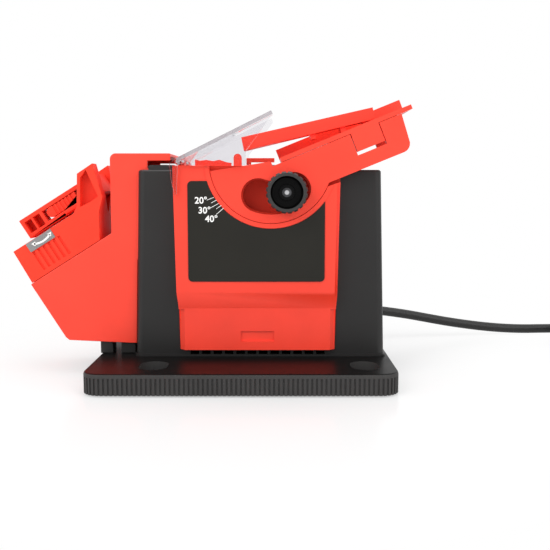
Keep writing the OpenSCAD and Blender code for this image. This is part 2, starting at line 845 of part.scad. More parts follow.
// Front housing: a drafted shell, open behind, with a deck over the chisel wheel
front_back = bay_wall_y - slide_gap;
front_upper_wall = plate_t + front_wall + slide_gap;
plate_seat = front_y + plate_t + slide_gap;
notch_w = 23;
notch_h = 7;
notch_z = 30;
edge_cut = 5;
tab_w = 5.4;
tab_h = 8;
edge_step = 2;
pan_back = front_y + 15.5;
module front_housing() color(red_abs) {
    low_y = front_y + panel_set;
    difference() {
        union() {
            difference() {
                front_block(low_y);
                front_hollow(low_y);
            }
            kidney(slot_half + 1, front_y + front_upper_wall - 1, pan_back);
            knife_tab();
            deck_ridge();
            rear_bar();
            guard_knuckles();
        }
        // the seat of the angle plate, the pan behind its slot and the room that its arm swings through
        along_y(pivot_x, pivot_z, plate_r + slide_gap, front_y - 2, plate_seat);
        kidney(slot_half - 1, front_y, pan_back - front_wall);
        translate([pivot_x, 0, pivot_z])
            rotate([0, 3 - bed_tilt, 0])
                block([0, front_y - 2, -arm_h - loose_gap], [arm_l, plate_seat + slide_gap, arm_h]);
        // the step down the right edge
        outline_y([
            [front_x + front_foot_w / 2 - edge_step, front_bottom - 1],
            [front_x + front_foot_w / 2 + 1, front_bottom - 1],
            [front_x + front_top_w / 2 + 1, front_top + 1],
            [front_x + front_top_w / 2 - edge_step, front_top + 1]
        ], front_y - 2, front_y + edge_step);
        // the lower panel's eased upright edges
        for (x = [-1, 1])
            translate([front_x + x * front_foot_w / 2, low_y, front_bottom - 1])
                rotate([0, 0, 45])
                    translate([-edge_cut / 2, -edge_cut / 2, 0])
                        cube([edge_cut, edge_cut, band_bottom - front_bottom]);
        // the grip notch, the chisel wheel's slot and the lock screw's hole
        block([front_x - notch_w / 2, low_y - 1, notch_z - notch_h / 2],
            [front_x + notch_w / 2, low_y + front_wall / 2, notch_z + notch_h / 2]);
        block([chisel_wheel_x - 1.5, shaft_y - 20, tower_top],
            [chisel_wheel_x + chisel_wheel_w + 2, shaft_y + 20, front_top + 1]);
        along_y(knob_x, knob_z, lock_r + slide_gap, front_y, pan_back + 1);
        along_y(guard_hinge_x, guard_hinge_z, guard_pin_r + snug, guard_front, guard_back);
    }
}

// The outside of the front housing with its deck
module front_block(low_y) {
    intersection() {
        outline_y(front_outline(0), front_y - collar_h, front_back);
        union() {
            outline_x([
                [low_y, front_bottom], [front_back, front_bottom], [front_back, front_top],
                [front_y, front_top], [front_y, band_top], [low_y, band_bottom]
            ], front_x - front_top_w, front_x + front_top_w);
            along_y(pivot_x, pivot_z, plate_r + slide_gap + collar_w, front_y - collar_h, front_y + 1);
        }
    }
    block([front_x - front_top_w / 2 + 0.6, front_back - 1, tower_top + slide_gap],
        [motor_x + 1, tower_back - tower_wall / 2, front_top]);
}

// The hollow behind the front wall
module front_hollow(low_y)
    intersection() {
        outline_y(front_outline(-front_wall), front_y, front_back + 1);
        outline_x([
            [low_y + front_wall, front_bottom + front_wall], [front_back + 1, front_bottom + front_wall],
            [front_back + 1, front_top - deck_t], [front_y + front_upper_wall, front_top - deck_t],
            [front_y + front_upper_wall, band_top], [low_y + front_wall, band_bottom]
        ], front_x - front_top_w, front_x + front_top_w);
    }

// The rounded tab at the front of the deck that a knife is laid against
module knife_tab()
    outline_y(concat(
        [[-tab_w - 0.4, front_top - 2]], [[-0.4, front_top - 2]],
        arc([-0.4 - tab_w / 2, front_top + tab_h - tab_w / 2], tab_w / 2, 0, 180, 10)
    ), plate_seat + slide_gap, plate_seat + 4);

// A low uneven ridge on the deck, under the guard
ridge = [[9.9, -1], [9.9, 4.5], [13.4, 3.6], [17.4, 4.2], [22.4, 3.4], [26.4, 4.3], [31.4, 2.6], [34.7, 2.2],
    [34.7, -1]];
module deck_ridge()
    outline_y([for (p = ridge) [guard_hinge_x + p[0], front_top + p[1]]], front_y + 13, front_y + 15);

// The bar behind the chisel wheel, held at its left end
module rear_bar() {
    bar_y = guard_back + 3;
    bar_z = front_top + 4.4;
    block([chisel_wheel_x - 0.5, bar_y, bar_z], [chisel_wheel_x + 20.6, bar_y + 2.5, bar_z + 3.2]);
    block([chisel_wheel_x - 0.5, bar_y, front_top - 1], [chisel_wheel_x + 3, bar_y + 2.5, bar_z + 1]);
}

// The housing's two knuckles for the guard's pin
knuckle_r = 2.4;
knuckle_foot = knuckle_r - 0.2;
knuckle_l = 11;
knuckle_starts = [front_y + 17, 1];
module guard_knuckles()
    for (y = knuckle_starts) {
        along_y(guard_hinge_x, guard_hinge_z, knuckle_r, y, y + knuckle_l);
        block([guard_hinge_x - knuckle_foot, y, front_top - 1],
            [guard_hinge_x + knuckle_foot, y + knuckle_l, guard_hinge_z]);
    }

// The dark plate that carries the angle scale
label_t = 0.8;
label_w = 92;
label_h = 67.6;
label_x = front_x - 0.3;
label_z = 103;
module label_plate() color([0.06, 0.06, 0.06])
    difference() {
        translate([label_x, front_y, label_z])
            rotate([90, 0, 0])
                linear_extrude(label_t)
                    round_rect(label_w, label_h, 3);
        along_y(pivot_x, pivot_z, plate_r + slide_gap + collar_w + slide_gap, front_y - 2, front_y + 1);
    }

// The angle plate: a disc sector that turns in its seat, and the arm that carries the tool bed
plate_edge = 167;
module angle_plate() color(red_abs) {
    far_y = front_y + bed_d - bed_t;
    difference() {
        union() {
            // the disc below the bed's line, cut on the left by a straight edge
            bed_frame() {
                difference() {
                    along_y(0, 0, plate_r, front_y, front_y + plate_t);
                    rotate([0, -plate_edge, 0])
                        block([0, front_y - 1, -plate_r - 1], [plate_r + 1, front_y + plate_t + 1, 0]);
                    block([-eps, front_y - 1, -bed_t - slide_gap],
                        [plate_r + 1, front_y + plate_t + 1, plate_r + 1]);
                }
                arm_wall(front_y, front_y + plate_t, plate_r - 12, arm_h);
                arm_wall(far_y, far_y + bed_t, arm_in, arm_floor_top + arm_floor_t);
                block([arm_in, front_y + eps, -arm_floor_top - arm_floor_t],
                    [arm_l - 0.8, far_y + 1, -arm_floor_top]);
                for (y = [front_y + eps, far_y + bed_t - rail_w - eps])
                    for (u = [[arm_in, window_start - 1], [window_start + window_l + 1, arm_l - 0.8]])
                        block([u[0], y, -bed_t - slide_gap - 2.5], [u[1], y + rail_w, -bed_t - slide_gap]);
            }
        }
        bed_frame()
            block([window_start, front_y - 1, -window_bottom],
                [window_start + window_l, far_y + bed_t + 1, 1]);
        kidney(slot_half, front_y - 1, plate_seat);
    }
}

// One wall of the arm, from u along the bed, with a rounded lower outer corner
module arm_wall(y0, y1, u, h)
    outline_y(concat(
        [[u, -bed_t - slide_gap], [u, -h]],
        arc([arm_l - 6.6, -h + 6], 6, -90, 0, 6),
        [[arm_l + 0.8, -bed_t - slide_gap]]
    ), y0, y1);

// A curved slot round the pivot, from y0 back to y1
slot_from = 249;
slot_to = 310;
module kidney(half, y0, y1) {
    for (a = [slot_from, slot_to])
        along_y(pivot_x + slot_r * cos(a), pivot_z + slot_r * sin(a), half + eps, y0, y1);
    translate([pivot_x, y1, pivot_z])
        rotate([90, 0, 0])
            rotate([0, 0, slot_from])
                rotate_extrude(angle = slot_to - slot_from)
                    translate([slot_r - half, 0])
                        square([2 * half, y1 - y0]);
}

// Lock knob with finger lobes and a dished face
knob_back = front_y - collar_h - slide_gap;
knob_front = knob_back - knob_l;
knob_lobes = 20;
module lock_knob() color(black_abs) {
    rim = 3;
    lobe_r = 0.9;
    difference() {
        translate([knob_x, knob_back, knob_z])
            rotate([90, 0, 0])
                rotate_extrude()
                    polygon([
                        [lock_r + snug, 0], [knob_d / 2 - 2, 0], [knob_d / 2, 1.5],
                        [knob_d / 2, knob_l - 1.5], [knob_d / 2 - 1, knob_l], [knob_d / 2 - rim, knob_l],
                        [knob_d / 2 - rim - 1.2, 5], [lock_r + 2.2, 5], [lock_r + 2, 9], [lock_r + snug, 9]
                    ]);
        for (i = [0:knob_lobes - 1])
            let (a = i * 360 / knob_lobes)
            along_y(knob_x + knob_d / 2 * cos(a), knob_z + knob_d / 2 * sin(a), lobe_r,
                knob_front - 1, knob_back + 1);
    }
}

module lock_screw() color(steel)
    difference() {
        along_y(knob_x, knob_z, lock_r, knob_back - 10, pan_back + 5.5);
        along_y(knob_x, knob_z, 1.5, knob_back - 11, knob_back - 8.5);
    }

module lock_nut() color(steel)
    difference() {
        translate([knob_x, pan_back, knob_z])
            rotate([-90, 0, 0])
                cylinder(r = 5.8, h = 4.5, $fn = 6);
        along_y(knob_x, knob_z, lock_r + running_gap, front_y, front_back);
    }

// Tool carriage: the bed, the fence behind it, the guide block in the arm's window and the lever's ear
carriage_end = bed_start + bed_l;
ear_t = 7;
ear_r = 3;
ear_y = lever_y + (lever_w - ear_t) / 2;
module tool_carriage() color(red_abs)
    bed_frame() {
        difference() {
            union() {
                block([bed_start, front_y, -bed_t], [carriage_end, front_y + bed_d, 0]);
                block([bed_start, front_y + bed_d - bed_t, -eps],
                    [carriage_end + 3.7, front_y + bed_d, fence_h]);
                block([window_start + tab_gap, front_y, -tab_bottom],
                    [window_start + window_l - tab_gap, front_y + rail_w, -bed_t + eps]);
                block([window_start + tab_gap, front_y + bed_d - bed_t - rail_w / 2, -tab_bottom + 6],
                    [window_start + window_l - tab_gap, front_y + bed_d, -bed_t + eps]);
                along_y(lever_pin_u, lever_pin_v, ear_r, ear_y, ear_y + ear_t);
                block([lever_pin_u - ear_r + 0.2, ear_y, -eps],
                    [lever_pin_u + ear_r - 0.2, ear_y + ear_t, lever_pin_v]);
            }
            along_y(lever_pin_u, lever_pin_v, lever_pin_r + snug, front_y, front_y + bed_d);
        }
    }

// Clamp lever: a channel bar whose two nubs press the tool on the bed
lever_l = 86.9;
lever_skin = 1.5;
lever_drop = -8.8;
// where each nub is along the lever, and its height
lever_nubs = [[-16.4, 4.9], [-37.9, 4.9]];
module clamp_lever() color(red_abs)
    bed_frame()
        translate([lever_pin_u, 0, lever_pin_v])
            rotate([0, -lever_drop, 0])
                difference() {
                    union() {
                        outline_y([
                            [-lever_l, -3.5], [-lever_l + 0.3, 5.7], [6.5, 4.9], [6.5, -2.3], [3, -3.2],
                            [-3, -3.2]
                        ], lever_y, lever_y + lever_w);
                        for (n = lever_nubs)
                            block([n[0] - 1.9, lever_y + 2, -2 - n[1]], [n[0] + 1.9, lever_y + lever_w - 2, 0]);
                    }
                    block([-lever_l + 6, lever_y + 2, 0], [-8, lever_y + lever_w - 2, 8]);
                    block([-5, ear_y - slide_gap, -6], [7, ear_y + ear_t + slide_gap, ear_r + slide_gap]);
                    along_y(0, 0, lever_pin_r + running_gap, lever_y + lever_skin,
                        lever_y + lever_w - lever_skin);
                }

module lever_pin() color(steel)
    bed_frame()
        along_y(lever_pin_u, lever_pin_v, lever_pin_r, lever_y + lever_skin + slide_gap,
            lever_y + lever_w - lever_skin - slide_gap);

// Clear guard: a sloping plate, two side walls, knuckles round its pin and an ear at the front
guard_tip = [guard_hinge_x + 62.9, guard_hinge_z + 30.7];
guard_rise = atan2(guard_tip[1] - guard_hinge_z, guard_tip[0] - guard_hinge_x);
guard_lip = 1;
guard_ear = [[0, 2.4], [-5.5, -1], [-4.6, -12], [-2.4, -22.8], [-1.2, -21.8], [-0.4, -8]];
module clear_guard() color([0.85, 0.88, 0.9, 0.35]) {
    up = guard_t * [-sin(guard_rise), cos(guard_rise)];
    start = [guard_hinge_x, guard_hinge_z] + (knuckle_foot - guard_t) * [-sin(guard_rise), cos(guard_rise)];
    foot_z = front_top + slide_gap;
    near = front_y - collar_h - slide_gap;
    knee_x = guard_hinge_x + 45.1;
    difference() {
        union() {
            outline_y([start, guard_tip, guard_tip + up, start + up], near - guard_t - guard_lip,
                guard_back + guard_lip);
            for (y = [near - guard_t, guard_back - guard_t])
                outline_y([start, [guard_hinge_x + 4, foot_z], [knee_x, foot_z], [knee_x, foot_z + 9.3],
                    guard_tip], y, y + guard_t);
            for (k = [[near - guard_t, knuckle_starts[0]], [knuckle_starts[0] + knuckle_l, knuckle_starts[1]],
                [knuckle_starts[1] + knuckle_l, guard_back]])
                along_y(guard_hinge_x, guard_hinge_z, knuckle_r, k[0] + slide_gap, k[1] - slide_gap);
            outline_y([for (p = guard_ear) p + [guard_hinge_x, guard_hinge_z]], near - guard_t, near);
        }
        // the room that the clamp lever lifts through
        block([guard_hinge_x + 36, lever_y - carriage_travel - 1, front_top],
            [guard_tip[0] + 1, lever_y + lever_w + carriage_travel + 1, guard_tip[1] + guard_t + 1]);
        for (y = knuckle_starts) {
            along_y(guard_hinge_x, guard_hinge_z, knuckle_r + slide_gap,
                y - slide_gap, y + knuckle_l + slide_gap);
            block([guard_hinge_x - 8, y - slide_gap, front_top],
                [guard_hinge_x + knuckle_r + slide_gap, y + knuckle_l + slide_gap, guard_hinge_z + 1]);
        }
        along_y(guard_hinge_x, guard_hinge_z, guard_pin_r + running_gap, near - guard_t + 1, guard_back - 1);
    }
}

module guard_pin() color(steel)
    along_y(guard_hinge_x, guard_hinge_z, guard_pin_r, front_y, guard_back - 1.5);

// Drill housing: a box over the drill wheel and a hollow wedge that carries the cradle
seam_left = at_drill(housing_end, seam_t);
housing_toe = [seam_left[0] + (seam_left[1] - housing_bottom) * tan(drill_tilt), housing_bottom];
box_corner_r = 4;
window_half = 7.8;
housing_right = tower_left_x(housing_bottom) - loose_gap;
function housing_outline(w) = concat(
    w > 0 ? [[housing_toe[0] + w * 1.2, housing_bottom - 2], [housing_right + 1, housing_bottom - 2]] :
        [housing_toe + [-2.2, 3.5], housing_toe + [0.2, 1.5], housing_toe + [3.4, 1.3],
            [housing_right, housing_bottom - 0.7]],
    [[tower_left_x(bay_floor) - loose_gap + (w > 0 ? 1 : 0), bay_floor + slide_gap]],
    [[box_right + (w > 0 ? 1 : 0), bay_floor + slide_gap - (w > 0 ? 1 : 0)]],
    [[box_right + (w > 0 ? 1 : 0), box_top - w]],
    arc([box_left + box_corner_r, box_top - box_corner_r], box_corner_r - w, 90, 180, 6),
    [[box_left + w, drill_line_z(seam_t - w, box_left + w)]],
    [at_drill(housing_end + w, seam_t - w)]
);
notch_x = drill_x + 3.7;
module drill_housing() color(red_abs) {
    difference() {
        union() {
            difference() {
                outline_y(housing_outline(0), drill_front, drill_back);
                outline_y(housing_outline(drill_wall), drill_front + drill_wall, drill_back - drill_wall);
            }
            // the shelf that rests on the dock's posts
            block([box_left - 8, drill_front + 1, dock_top],
                [housing_right, drill_back - 1, dock_top + shelf_t]);
            drill_frame()
                translate([pivot_s, 0, seam_t - 6])
                    cylinder(r = pivot_r + 3, h = 5);
        }
        // the notches over the drill wheel, front and back, and the drill's way in
        block([notch_x, drill_front - 1, tower_top + 1], [box_right + 1, drill_back + 1, box_top - 5.2]);
        block([box_left - 1, shaft_y - window_half, drill_line_z(0, box_left) - window_half],
            [box_left + drill_wall + 1, shaft_y + window_half, drill_line_z(0, box_left) + window_half]);
        drill_frame()
            translate([pivot_s, 0, seam_t - 8])
                cylinder(r = pivot_r + snug, h = 10);
    }
}

// The clamp's guide ribs and the grooves they run in
guide_start = -62;
guide_w = 2;
guide_h = 2.5;
guide_low = 7.5;

// Swinging cradle: a block with a groove for the drill, two cheeks and a ribbed grip
grip_count = 6;
grip_pitch = 4.2;
scoop = [[-43.1, -0.9], [-39.1, 4.6], [-30.9, -13.6], [-35.4, -16.9], [-43.6, -21]];
module drill_cradle() color(red_abs) {
    low = seam_t + slide_gap;
    cheek = [
        at_drill(-56, cradle_top - 1), [drill_x - 46, drill_z - 20.5], [drill_x - 45.2, drill_z + 2],
        at_drill(-24.3, 26), [drill_x - 28, drill_z - 14], [cradle_nose_x, drill_z - 24],
        [cradle_nose_x, drill_line_z(cradle_top - 1, cradle_nose_x) - 4]
    ];
    difference() {
        union() {
            outline_y([
                at_drill(cradle_end, low), [cradle_nose_x, drill_line_z(low, cradle_nose_x)],
                [cradle_nose_x, drill_line_z(cradle_top, cradle_nose_x)],
                at_drill(cradle_end + 1, cradle_top)
            ], drill_front, drill_back);
            outline_y(cheek, drill_front, drill_front + cheek_t);
            outline_y(cheek, drill_back - cheek_t, drill_back);
        }
        drill_frame() {
            // the drill's groove and the pivot's bore
            rotate([90, 0, 90])
                translate([0, 0, cradle_end - 10])
                    linear_extrude(-cradle_end)
                        polygon([[0, -6], [8, cradle_top + 1], [-8, cradle_top + 1]]);
            translate([pivot_s, 0, seam_t - 1])
                cylinder(r = pivot_r + running_gap, h = 12);
            block([cradle_end, -clamp_d / 2 - guide_w - slide_gap, guide_low - slide_gap],
                [0, clamp_d / 2 + guide_w + slide_gap, guide_low + guide_h + slide_gap]);
            // the grip's grooves
            for (i = [0:grip_count - 1])
                translate([cradle_end + 12 + i * grip_pitch, -drill_d / 2 - 1, -18])
                    cube([1.8, 2.2, 14.6]);
        }
        // the pocket in the near cheek
        outline_y([for (p = scoop) [drill_x + p[0], drill_z + p[1]]], drill_front - 1, drill_front + 7);
    }
}

module cradle_pivot() color(steel)
    drill_frame()
        translate([pivot_s, 0, seam_t - 8]) {
            cylinder(r = pivot_r, h = 17);
            cylinder(r = pivot_r + 3, h = 2);
        }

// The plate with the swing arrow, on the cradle's front
arrow_l = 20.5;
arrow_low = -3;
module arrow_plate() color([0.5, 0.5, 0.52])
    drill_frame()
        block([cradle_end + 11.4, -drill_d / 2 - label_t, arrow_low],
            [cradle_end + 11.4 + arrow_l, -drill_d / 2, cradle_top - slide_gap]);

// Drill clamp: a box, open behind, whose guide ribs slide in the cheeks, with a slot for the thumb slide
thumb_slot = [-76, -40];
thumb_low = 10.5;
thumb_high = 18.5;
thumb_l = 25;
clamp_wall = 6;
clamp_block_d = 12;
clamp_block = clamp_block_d - clamp_d / 2;
module drill_clamp() color(red_abs)
    drill_frame()
        difference() {
            union() {
                block([clamp_start, -clamp_d / 2, clamp_low], [clamp_end, clamp_d / 2, clamp_high]);
                block([guide_start, -clamp_d / 2 - guide_w, guide_low],
                    [clamp_end - 1, clamp_d / 2 + guide_w, guide_low + guide_h]);
            }
            for (s = [clamp_start + 2.5, clamp_start + 9.5])
                block([s, -clamp_d / 2 - 1, clamp_low + 3], [s + 5.5, clamp_block - 2, clamp_high - 3]);
            // open below and behind the block with the two windows, and behind the thumb slot
            block([clamp_start + 2, clamp_block, clamp_low - 1],
                [guide_start - 2, clamp_d / 2 + 1, clamp_high - 2]);
            block([thumb_slot[0], clamp_wall - clamp_d / 2, thumb_low],
                [thumb_slot[1], clamp_d / 2 + 1, clamp_high - 2]);
            block([thumb_slot[0], -clamp_d / 2 - 1, thumb_low], [thumb_slot[1], clamp_d / 2 + 1, thumb_high]);
        }

// Thumb slide with finger ribs
module clamp_slide() color(red_abs)
    drill_frame() {
        low = thumb_low + slide_gap;
        high = thumb_high - slide_gap;
        start = thumb_slot[0] + 2.5;
        difference() {
            union() {
                block([start + 3.5, -clamp_d / 2, low], [start + thumb_l, clamp_d / 2, high]);
                along_y(start + 3.5, (low + high) / 2, (high - low) / 2, -clamp_d / 2, clamp_d / 2);
            }
            for (i = [0:5])
                translate([start + 6 + i * 3, -clamp_d / 2 - 1, low - 1])
                    cube([1.4, 1.9, 10]);
        }
    }

// The jaw under the clamp that holds the drill in its groove
jaw_l = 20;
jaw_w = 8;
jaw_low = 2;
module drill_jaw() color(steel)
    drill_frame()
        difference() {
            block([guide_start, -jaw_w / 2, jaw_low], [guide_start + jaw_l, jaw_w / 2, clamp_low]);
            rotate([90, 0, 90])
                translate([0, 0, guide_start - 1])
                    linear_extrude(jaw_l + 2)
                        polygon([[-3, 1], [3, 1], [0, 4.5]]);
        }

base_plate();
bottom_cover();
cover_screws();
rubber_feet();
tower_shell();
tower_screws();
drill_dock();
motor_can();
motor_end_cap();
motor_screws();
motor_rotor();
motor_shaft();
shaft_bush();
chisel_wheel();
wheel_hub();
drill_wheel();
wheel_flanges();
shaft_nut();
switch_frame();
switch_rocker();
strain_relief();
power_cord();
cord_coil();
cord_tie();
plug_body();
plug_pins();
front_housing();
label_plate();
angle_plate();
lock_screw();
lock_knob();
lock_nut();
tool_carriage();
clamp_lever();
lever_pin();
clear_guard();
guard_pin();
drill_housing();
drill_cradle();
cradle_pivot();
arrow_plate();
drill_clamp();
clamp_slide();
drill_jaw();
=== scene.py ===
"""Bench sharpener: finishes, eased mouldings, mains lead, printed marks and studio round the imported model."""
import json
import math
import bpy
from bpy.props import FloatProperty, FloatVectorProperty, PointerProperty
from mathutils import Matrix, Vector

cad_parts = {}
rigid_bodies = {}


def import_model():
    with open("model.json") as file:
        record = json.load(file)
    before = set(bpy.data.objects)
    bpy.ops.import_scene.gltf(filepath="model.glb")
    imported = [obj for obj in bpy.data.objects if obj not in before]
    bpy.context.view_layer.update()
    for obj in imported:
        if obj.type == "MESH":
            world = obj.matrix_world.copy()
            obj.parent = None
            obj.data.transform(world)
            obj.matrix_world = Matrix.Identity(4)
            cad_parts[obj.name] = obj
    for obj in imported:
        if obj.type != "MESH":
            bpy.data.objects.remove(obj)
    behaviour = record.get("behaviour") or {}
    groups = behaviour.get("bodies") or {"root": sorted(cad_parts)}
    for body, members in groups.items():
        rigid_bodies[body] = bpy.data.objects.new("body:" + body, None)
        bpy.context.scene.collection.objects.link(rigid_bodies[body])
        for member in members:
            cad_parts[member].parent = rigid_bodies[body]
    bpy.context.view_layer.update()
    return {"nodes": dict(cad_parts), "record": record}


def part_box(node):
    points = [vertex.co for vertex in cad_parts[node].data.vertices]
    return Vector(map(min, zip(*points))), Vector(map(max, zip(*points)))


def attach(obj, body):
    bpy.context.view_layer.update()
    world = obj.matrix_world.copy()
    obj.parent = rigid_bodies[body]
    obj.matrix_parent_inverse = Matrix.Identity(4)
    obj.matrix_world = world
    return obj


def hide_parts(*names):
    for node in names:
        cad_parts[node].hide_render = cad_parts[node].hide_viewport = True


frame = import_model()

bl_info = {
    "name": "Bench sharpener finish",
    "version": (1, 0, 0),
    "blender": (4, 5, 0),
    "location": "View3D > Sidebar > Sharpener",
    "description": "Finishes and small pieces of a bench sharpener round its packed model",
    "category": "Object",
}

MM = 0.001
WHITE = (1, 1, 1, 1)

# A normal with this much of it along a direction faces that way
FACING = 0.9

# Turns a flat drawing upright, with its face to the front
UPRIGHT = Matrix.Rotation(math.pi / 2, 4, "X")

# Lead, in metres: its route behind the machine as the solid follows it, its end from the coil to the plug,
# its radius and length, and its steps along and around
LEAD_ROUTE = [
    (0.070, 0.075, 0.032), (0.070, 0.084, 0.032), (0.072, 0.096, 0.031), (0.079, 0.107, 0.029),
    (0.090, 0.115, 0.027), (0.104, 0.120, 0.025), (0.122, 0.124, 0.0225), (0.140, 0.127, 0.0195),
    (0.158, 0.129, 0.016), (0.176, 0.131, 0.0125), (0.194, 0.133, 0.0095), (0.212, 0.135, 0.007),
    (0.230, 0.137, 0.0052), (0.248, 0.139, 0.0042), (0.266, 0.141, 0.004), (0.284, 0.142, 0.004),
    (0.302, 0.143, 0.004), (0.312, 0.143, 0.004), (0.318, 0.143, 0.004),
]
LEAD_TAIL = [(0, -0.008, 0), (0, -0.022, -0.0006), (0, -0.038, -0.0022), (0, -0.054, -0.0038),
             (0, -0.064, -0.0044), (0, -0.072, -0.0044)]
LEAD_RADIUS = 0.004
LEAD_STEPS = 3
LEAD_ROUND = 4

# Coil, in metres: its place across, its turns, their distance, their mean radius and the points of one turn
COIL_X = 0.320
COIL_TURNS = 5.25
COIL_PITCH = 0.0087
COIL_MID = 0.044
COIL_RING = 24

# Printed marks: merge distance and the letters' added weight in metres, and the letters' steps per curve
MARK_MERGE = 1e-6
LETTER_BOLD = 0.00012
LETTER_STEPS = 4

# Angle scale on the label, in millimetres across and up
SCALE_TICKS = [
    ((-23.5, 124.1), (-18.8, 125.9)), ((-20.6, 122.2), (-17.1, 124.1)), ((-21.0, 119.0), (-15.7, 121.85)),
    ((-17.3, 118.3), (-13.9, 120.6)), ((-17.2, 114.6), (-12.5, 118.7)),
]
TICK_W = 0.34
SCALE_NUMERALS = [("20\u00b0", -31.7, 121.9), ("30\u00b0", -29.4, 115.3), ("40\u00b0", -24.8, 109.6)]

# Marks on the two halves of the switch rocker, from front to back, and their type size in millimetres
SWITCH_MARKS = ("O", "I")
SWITCH_MARK_H = 6.0

# Swing arrow on the cradle's sticker, in millimetres and degrees, and the tilt of the drill's axis
DRILL_TILT = math.radians(32)
ARROW_R = 14.0
ARROW_HALF = 28.0
ARROW_SAG = 1.2
ARROW_SHIFT = 1.6
ARROW_W = 1.3
ARROW_HEAD = 1.9
ARROW_STEPS = 24

# Copies of CAD nodes: merge distance in metres, then angles in degrees below which faces become one, above
# which edges are eased and below which faces are shaded together
COPY_MERGE = 1e-5
ONE_FACE = 1.5
EASE_FROM = 40
SMOOTH_TO = 32
EASE_STEPS = 2
FLAT_WEIGHT = 100

# Nodes whose edges are eased, and their share of the common width
EASED = {
    "front_housing": 1, "angle_plate": 1, "tool_carriage": 1, "clamp_lever": 1,
    "label_plate": 0.4, "lock_knob": 0.7, "drill_housing": 1.2, "drill_cradle": 1.2, "drill_clamp": 1,
    "clamp_slide": 0.8, "arrow_plate": 0.3, "tower_shell": 1.2, "base_plate": 0.4, "bottom_cover": 0.6,
    "drill_dock": 1.2, "switch_frame": 0.8, "switch_rocker": 1.2, "strain_relief": 0.5, "rubber_feet": 0.6,
}
EASED_ON_LEAD = {"plug_body": 3, "plug_pins": 1, "cord_tie": 0.5}

# Where a piece changes its finish: the base's steep faces by their slope, painted lighter as lit than its top,
# which is painted darker as shade, and in millimetres the knob's dish and the pan behind the angle plate's
# slot, both painted shade, the lock screw's socket, and the clear guard's edges, painted darker as shade
STEEP = 0.5
DISH_R = 10.9
PAN_IN = 4.0
PAN_HALF = (32.0, 18.0)
PAN_BEFORE_NUT = 1.0
SOCKET_R = 1.7
EDGE_W = 3.0

# The finish of each material slot, and of the nodes that differ from their slot
FINISH_OF_SLOT = {
    "black_plastic": "moulded_black", "red_plastic": "moulded_red", "switch_red": "rocker_red",
    "label_black": "label_print", "label_grey": "sticker_grey", "clear_plastic": "clear_moulding",
    "steel": "bright_steel", "zinc_steel": "zinc_can", "dark_plastic": "motor_moulding",
    "iron": "rotor_iron", "bronze": "bush_bronze", "grit": "wheel_grit", "rubber": "soft_black",
}
# Of these, the base's finish is its black painted darker as shade
FINISH_OF_NODE = {
    "lock_knob": "knob_black", "lock_screw": "dark_steel", "base_plate": "stand_black",
    "drill_cradle": "matt_red", "drill_clamp": "matt_red", "clamp_slide": "matt_red",
}

# Scales of the mouldings' clouding and uneven gloss, the clear moulding's flow lines and the grit's grains,
# and depths of the relief in metres
CLOUD_SCALE = 26.0
GLOSS_SCALE = 60.0
FLOW_SCALE = 40.0
GRIT_SCALE = 1500.0
RELIEF_DEPTH = 0.0002
GRIT_DEPTH = 0.0003

# Camera: place in metres, tilt down in degrees, sensor width, and focal length in pixels of the frame
CAMERA_PLACE = (0.022, -0.5682, 0.1317)
CAMERA_DOWN = 6.3
SENSOR_W = 36
FRAME_PX = 550
FOCAL_PX = 782
CLIP_START = 0.01
CLIP_END = 20

# Lamps: place in metres, turn in degrees, width in metres and power in watts
LAMPS = {
    "key_left": ((-0.75, -0.85, 0.80), (50, 0, -42), 0.9, 9.0),
    "key_right": ((0.85, -0.80, 0.75), (52, 0, 46), 0.9, 7.0),
    "top_soft": ((0.0, 0.1, 1.1), (0, 0, 0), 1.1, 7.0),
}

# Floor: width and shift back in metres, grey, and the shares of white and of sheen near the machine and away
FLOOR_W = 8
FLOOR_Y = 1.5
FLOOR_GREY = (0.80, 0.80, 0.80, 1)
WHITE_REACH = (0.09, 0.30)
WHITE_SHARE = (0.45, 1.0)
SHEEN_ROUGH = 0.22
SHEEN_REACH = (0.09, 0.26)
SHEEN_SHARE = (0.14, 0.0)

# World: its level to the object and to the eye
WORLD_LEVEL = (0.55, 1.0)


class SharpenerFinish(bpy.types.PropertyGroup):
    """Colours of the mouldings and the print"""
    red: FloatVectorProperty(
        name="Red", description="Colour of the red mouldings", subtype="COLOR", size=3, min=0, max=1,
        default=(0.90, 0.050, 0.024))
    black: FloatVectorProperty(
        name="Black", description="Colour of the black mouldings", subtype="COLOR", size=3, min=0, max=1,
        default=(0.0125, 0.0120, 0.0118))
    label: FloatVectorProperty(
        name="Label", description="Colour of the label's ground", subtype="COLOR", size=3, min=0, max=1,
        default=(0.0125, 0.0115, 0.0085))
    ink: FloatVectorProperty(
        name="Print", description="Colour of the printed marks", subtype="COLOR", size=3, min=0, max=1,
        default=(0.86, 0.86, 0.84))


class SharpenerSizes(bpy.types.PropertyGroup):
    """Sizes of the small pieces"""
    edge: FloatProperty(
        name="Edge", description="Width of the mouldings' eased edges", unit="LENGTH",
        default=0.0005, min=0.0001, max=0.002)
    print_t: FloatProperty(
        name="Print", description="Thickness of the printed marks", unit="LENGTH",
        default=0.00008, min=0.00002, max=0.0003)
    numeral: FloatProperty(
        name="Numeral", description="Type size of the scale's numerals", unit="LENGTH",
        default=0.0061, min=0.004, max=0.012)


# Materials

def empty_tree(name):
    """A new material with an empty tree and its output."""
    mat = bpy.data.materials.new(name)
    mat.use_nodes = True
    tree = mat.node_tree
    tree.nodes.clear()
    out = tree.nodes.new("ShaderNodeOutputMaterial")
    return mat, tree, out


def shader_tree(name):
    """A new material with its shader."""
    mat, tree, out = empty_tree(name)
    shader = tree.nodes.new("ShaderNodeBsdfPrincipled")
    tree.links.new(shader.outputs["BSDF"], out.inputs["Surface"])
    return mat, tree, shader


